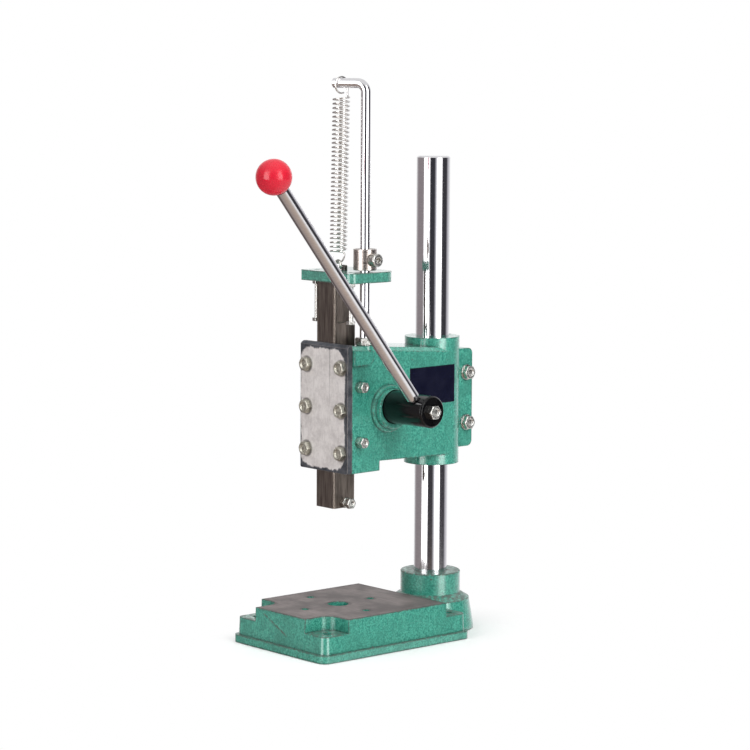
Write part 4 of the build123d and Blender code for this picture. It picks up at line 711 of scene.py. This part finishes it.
# A matt white sweep, which fades to the white of the surroundings away from the object
floor_material, tree, shader, place = new_surface(
    "matt_white_sweep", Base_Color=(SHADOW_GREY, SHADOW_GREY, SHADOW_GREY, 1.0), Roughness=0.9)
oval_x, oval_y = FOOT_SHADE
reach = add_node(tree, "ShaderNodeVectorMath", MULTIPLY_ADD, _0=place,
                 _1=(1 / oval_x, 1 / oval_y, 0.0), _2=(0.0, -FOOT_MIDDLE_Y / oval_y, 0.0))
reach = add_node(tree, "ShaderNodeVectorMath", {"operation": "LENGTH"}, _0=reach)
far = add_node(tree, "ShaderNodeMapRange", SMOOTH, Value=reach.outputs["Value"],
               From_Min=FADE[0], From_Max=FADE[1])
seen = add_node(tree, "ShaderNodeLightPath").outputs["Is Camera Ray"]
faded = add_node(tree, "ShaderNodeMath", MULTIPLY, _0=far, _1=seen)
white = add_node(tree, "ShaderNodeEmission", Color=WHITE, Strength=1.0)
both = add_node(tree, "ShaderNodeMixShader", _0=faded, _1=shader, _2=white)
tree.links.new(both.outputs["Shader"], tree.nodes["Material Output"].inputs["Surface"])
floor_mesh.materials.append(floor_material)


LIT_POINT = Vector((0.0, 0.05, 0.3))


def soft_box(name, azimuth, elevation, distance, width, height, watts):
    """A soft rectangular lamp that faces the object. What gloss mirrors is the tent below, not the lamp."""
    data = bpy.data.lights.new(name, "AREA")
    data.shape = "RECTANGLE"
    data.size = width
    data.size_y = height
    data.energy = watts
    lamp = bpy.data.objects.new(name, data)
    bpy.context.scene.collection.objects.link(lamp)
    a, e = radians(azimuth), radians(elevation)
    back = Vector((sin(a) * cos(e), -cos(a) * cos(e), sin(e)))
    lamp.location = LIT_POINT + back * distance
    lamp.rotation_euler = back.to_track_quat("Z", "Y").to_euler()
    lamp.visible_glossy = False


soft_box("key_left", azimuth=4, elevation=26, distance=2.0, width=0.9, height=1.4, watts=9.5)
soft_box("key_right", azimuth=86, elevation=30, distance=2.0, width=0.9, height=1.4, watts=28)
soft_box("top", azimuth=40, elevation=85, distance=1.8, width=1.6, height=1.6, watts=15)

# White surroundings for the camera. Gloss and polished steel mirror a light tent instead. Its panels stand
# round the object (bearings in degrees, 0 in front of it, 90 on the lever side), each with a colour and a
# glow, brightest in the middle of the two lit ones, with darker gaps between them. Below them lies a floor
# of warm grey that whitens towards the back, and a pale roof closes the tent.
MATT_LIGHT = (0.5, 0.5, 0.5, 1.0)  # what lights matt surfaces from all sides
MOST_GLOW = 8.0
TENT_FOOT = (-0.215, -0.185)   # upward share of a direction, where floor turns to panel
TENT_ROOF = (0.35, 0.75)       # and panel to roof
WALLS = [(0, "FFFFFF", 5.5), (17, "FFFFFF", 5.5), (22, "FFFFFF", 2.2), (28, "3A3A40", 1), (57, "3A3A40", 1),
         (65, "B0B0B6", 1), (73, "FAFAFC", 1.2), (80, "FFFFFF", 2.6), (83, "FFFFFF", 6.5),
         (103, "FFFFFF", 6.5), (106, "FFFFFF", 2.6), (115, "3E3D42", 1), (152, "3E3D42", 1),
         (164, "B4B2B8", 1), (196, "F4F4F6", 1), (250, "FFFFFF", 1), (274, "AAA5A7", 1), (290, "948C8E", 1),
         (338, "968E90", 1), (346, "FFFFFF", 2.2), (350, "FFFFFF", 5.5), (360, "FFFFFF", 5.5)]
GROUND = [(0, "A89A92", 1), (60, "B8A79B", 1), (84, "C2B3A6", 1), (98, "D8D0CA", 1), (108, "FFFFFF", 1),
          (150, "FFFFFF", 1), (200, "E6E6E8", 1), (250, "8A8284", 1), (268, "5E5553", 1), (290, "6E6461", 1),
          (320, "A39792", 1), (360, "A89A92", 1)]
world = bpy.data.worlds.new("light_tent")
bpy.context.scene.world = world
world.use_nodes = True
tree = world.node_tree
direction = add_node(tree, "ShaderNodeTexCoord").outputs["Generated"]
parts = add_node(tree, "ShaderNodeSeparateXYZ", Vector=direction).outputs
toward = add_node(tree, "ShaderNodeMath", MULTIPLY, _0=parts["Y"], _1=-1.0)
bearing = add_node(tree, "ShaderNodeMath", {"operation": "ARCTAN2"}, _0=parts["X"], _1=toward)
bearing = add_node(tree, "ShaderNodeMath", {"operation": "DIVIDE"}, _0=bearing, _1=2 * pi)
bearing = add_node(tree, "ShaderNodeMath", {"operation": "FRACT"}, _0=bearing)

rounds = []
for stops in (GROUND, WALLS):
    panels = add_node(tree, "ShaderNodeValToRGB", Fac=bearing)
    elements = panels.color_ramp.elements
    while len(elements) < len(stops):
        elements.new(0.5)
    for element, (angle, colour, glow) in zip(elements, stops):
        element.position = angle / 360
        element.color = linear(colour)[:3] + (glow / MOST_GLOW,)
    rounds.append(panels)

above = add_node(tree, "ShaderNodeMapRange", SMOOTH, Value=parts["Z"], From_Min=TENT_FOOT[0],
                 From_Max=TENT_FOOT[1])
round_about = add_node(tree, "ShaderNodeMix", COLOUR, _0=above, _6=rounds[0], _7=rounds[1])
roof = add_node(tree, "ShaderNodeMapRange", SMOOTH, Value=parts["Z"], From_Min=TENT_ROOF[0],
                From_Max=TENT_ROOF[1])
tent = add_node(tree, "ShaderNodeMix", COLOUR, _0=roof, _6=round_about.outputs[2], _7=linear("EDEDED"))
path = add_node(tree, "ShaderNodeLightPath").outputs
plain = add_node(tree, "ShaderNodeMix", COLOUR, _0=path["Is Glossy Ray"], _6=MATT_LIGHT,
                 _7=tent.outputs[2])
open_to_view = add_node(tree, "ShaderNodeMath", MAXIMUM, _0=path["Is Camera Ray"],
                        _1=path["Is Transmission Ray"])
shown = add_node(tree, "ShaderNodeMix", COLOUR, _0=open_to_view, _6=plain.outputs[2], _7=WHITE)
glow = add_node(tree, "ShaderNodeMath", MULTIPLY_ADD, _0=rounds[1].outputs["Alpha"],
                _1=MOST_GLOW, _2=-1.0)
under_roof = add_node(tree, "ShaderNodeMapRange", SMOOTH, Value=parts["Z"], From_Min=TENT_ROOF[1],
                      From_Max=TENT_ROOF[0])
for share in (above, under_roof, path["Is Glossy Ray"]):
    glow = add_node(tree, "ShaderNodeMath", MULTIPLY, _0=glow, _1=share)
glow = add_node(tree, "ShaderNodeMath", {"operation": "ADD"}, _0=glow, _1=1.0)
tree.links.new(glow.outputs[0], tree.nodes["Background"].inputs["Strength"])
tree.links.new(shown.outputs[2], tree.nodes["Background"].inputs["Color"])

bpy.context.scene.view_settings.view_transform = "Standard"
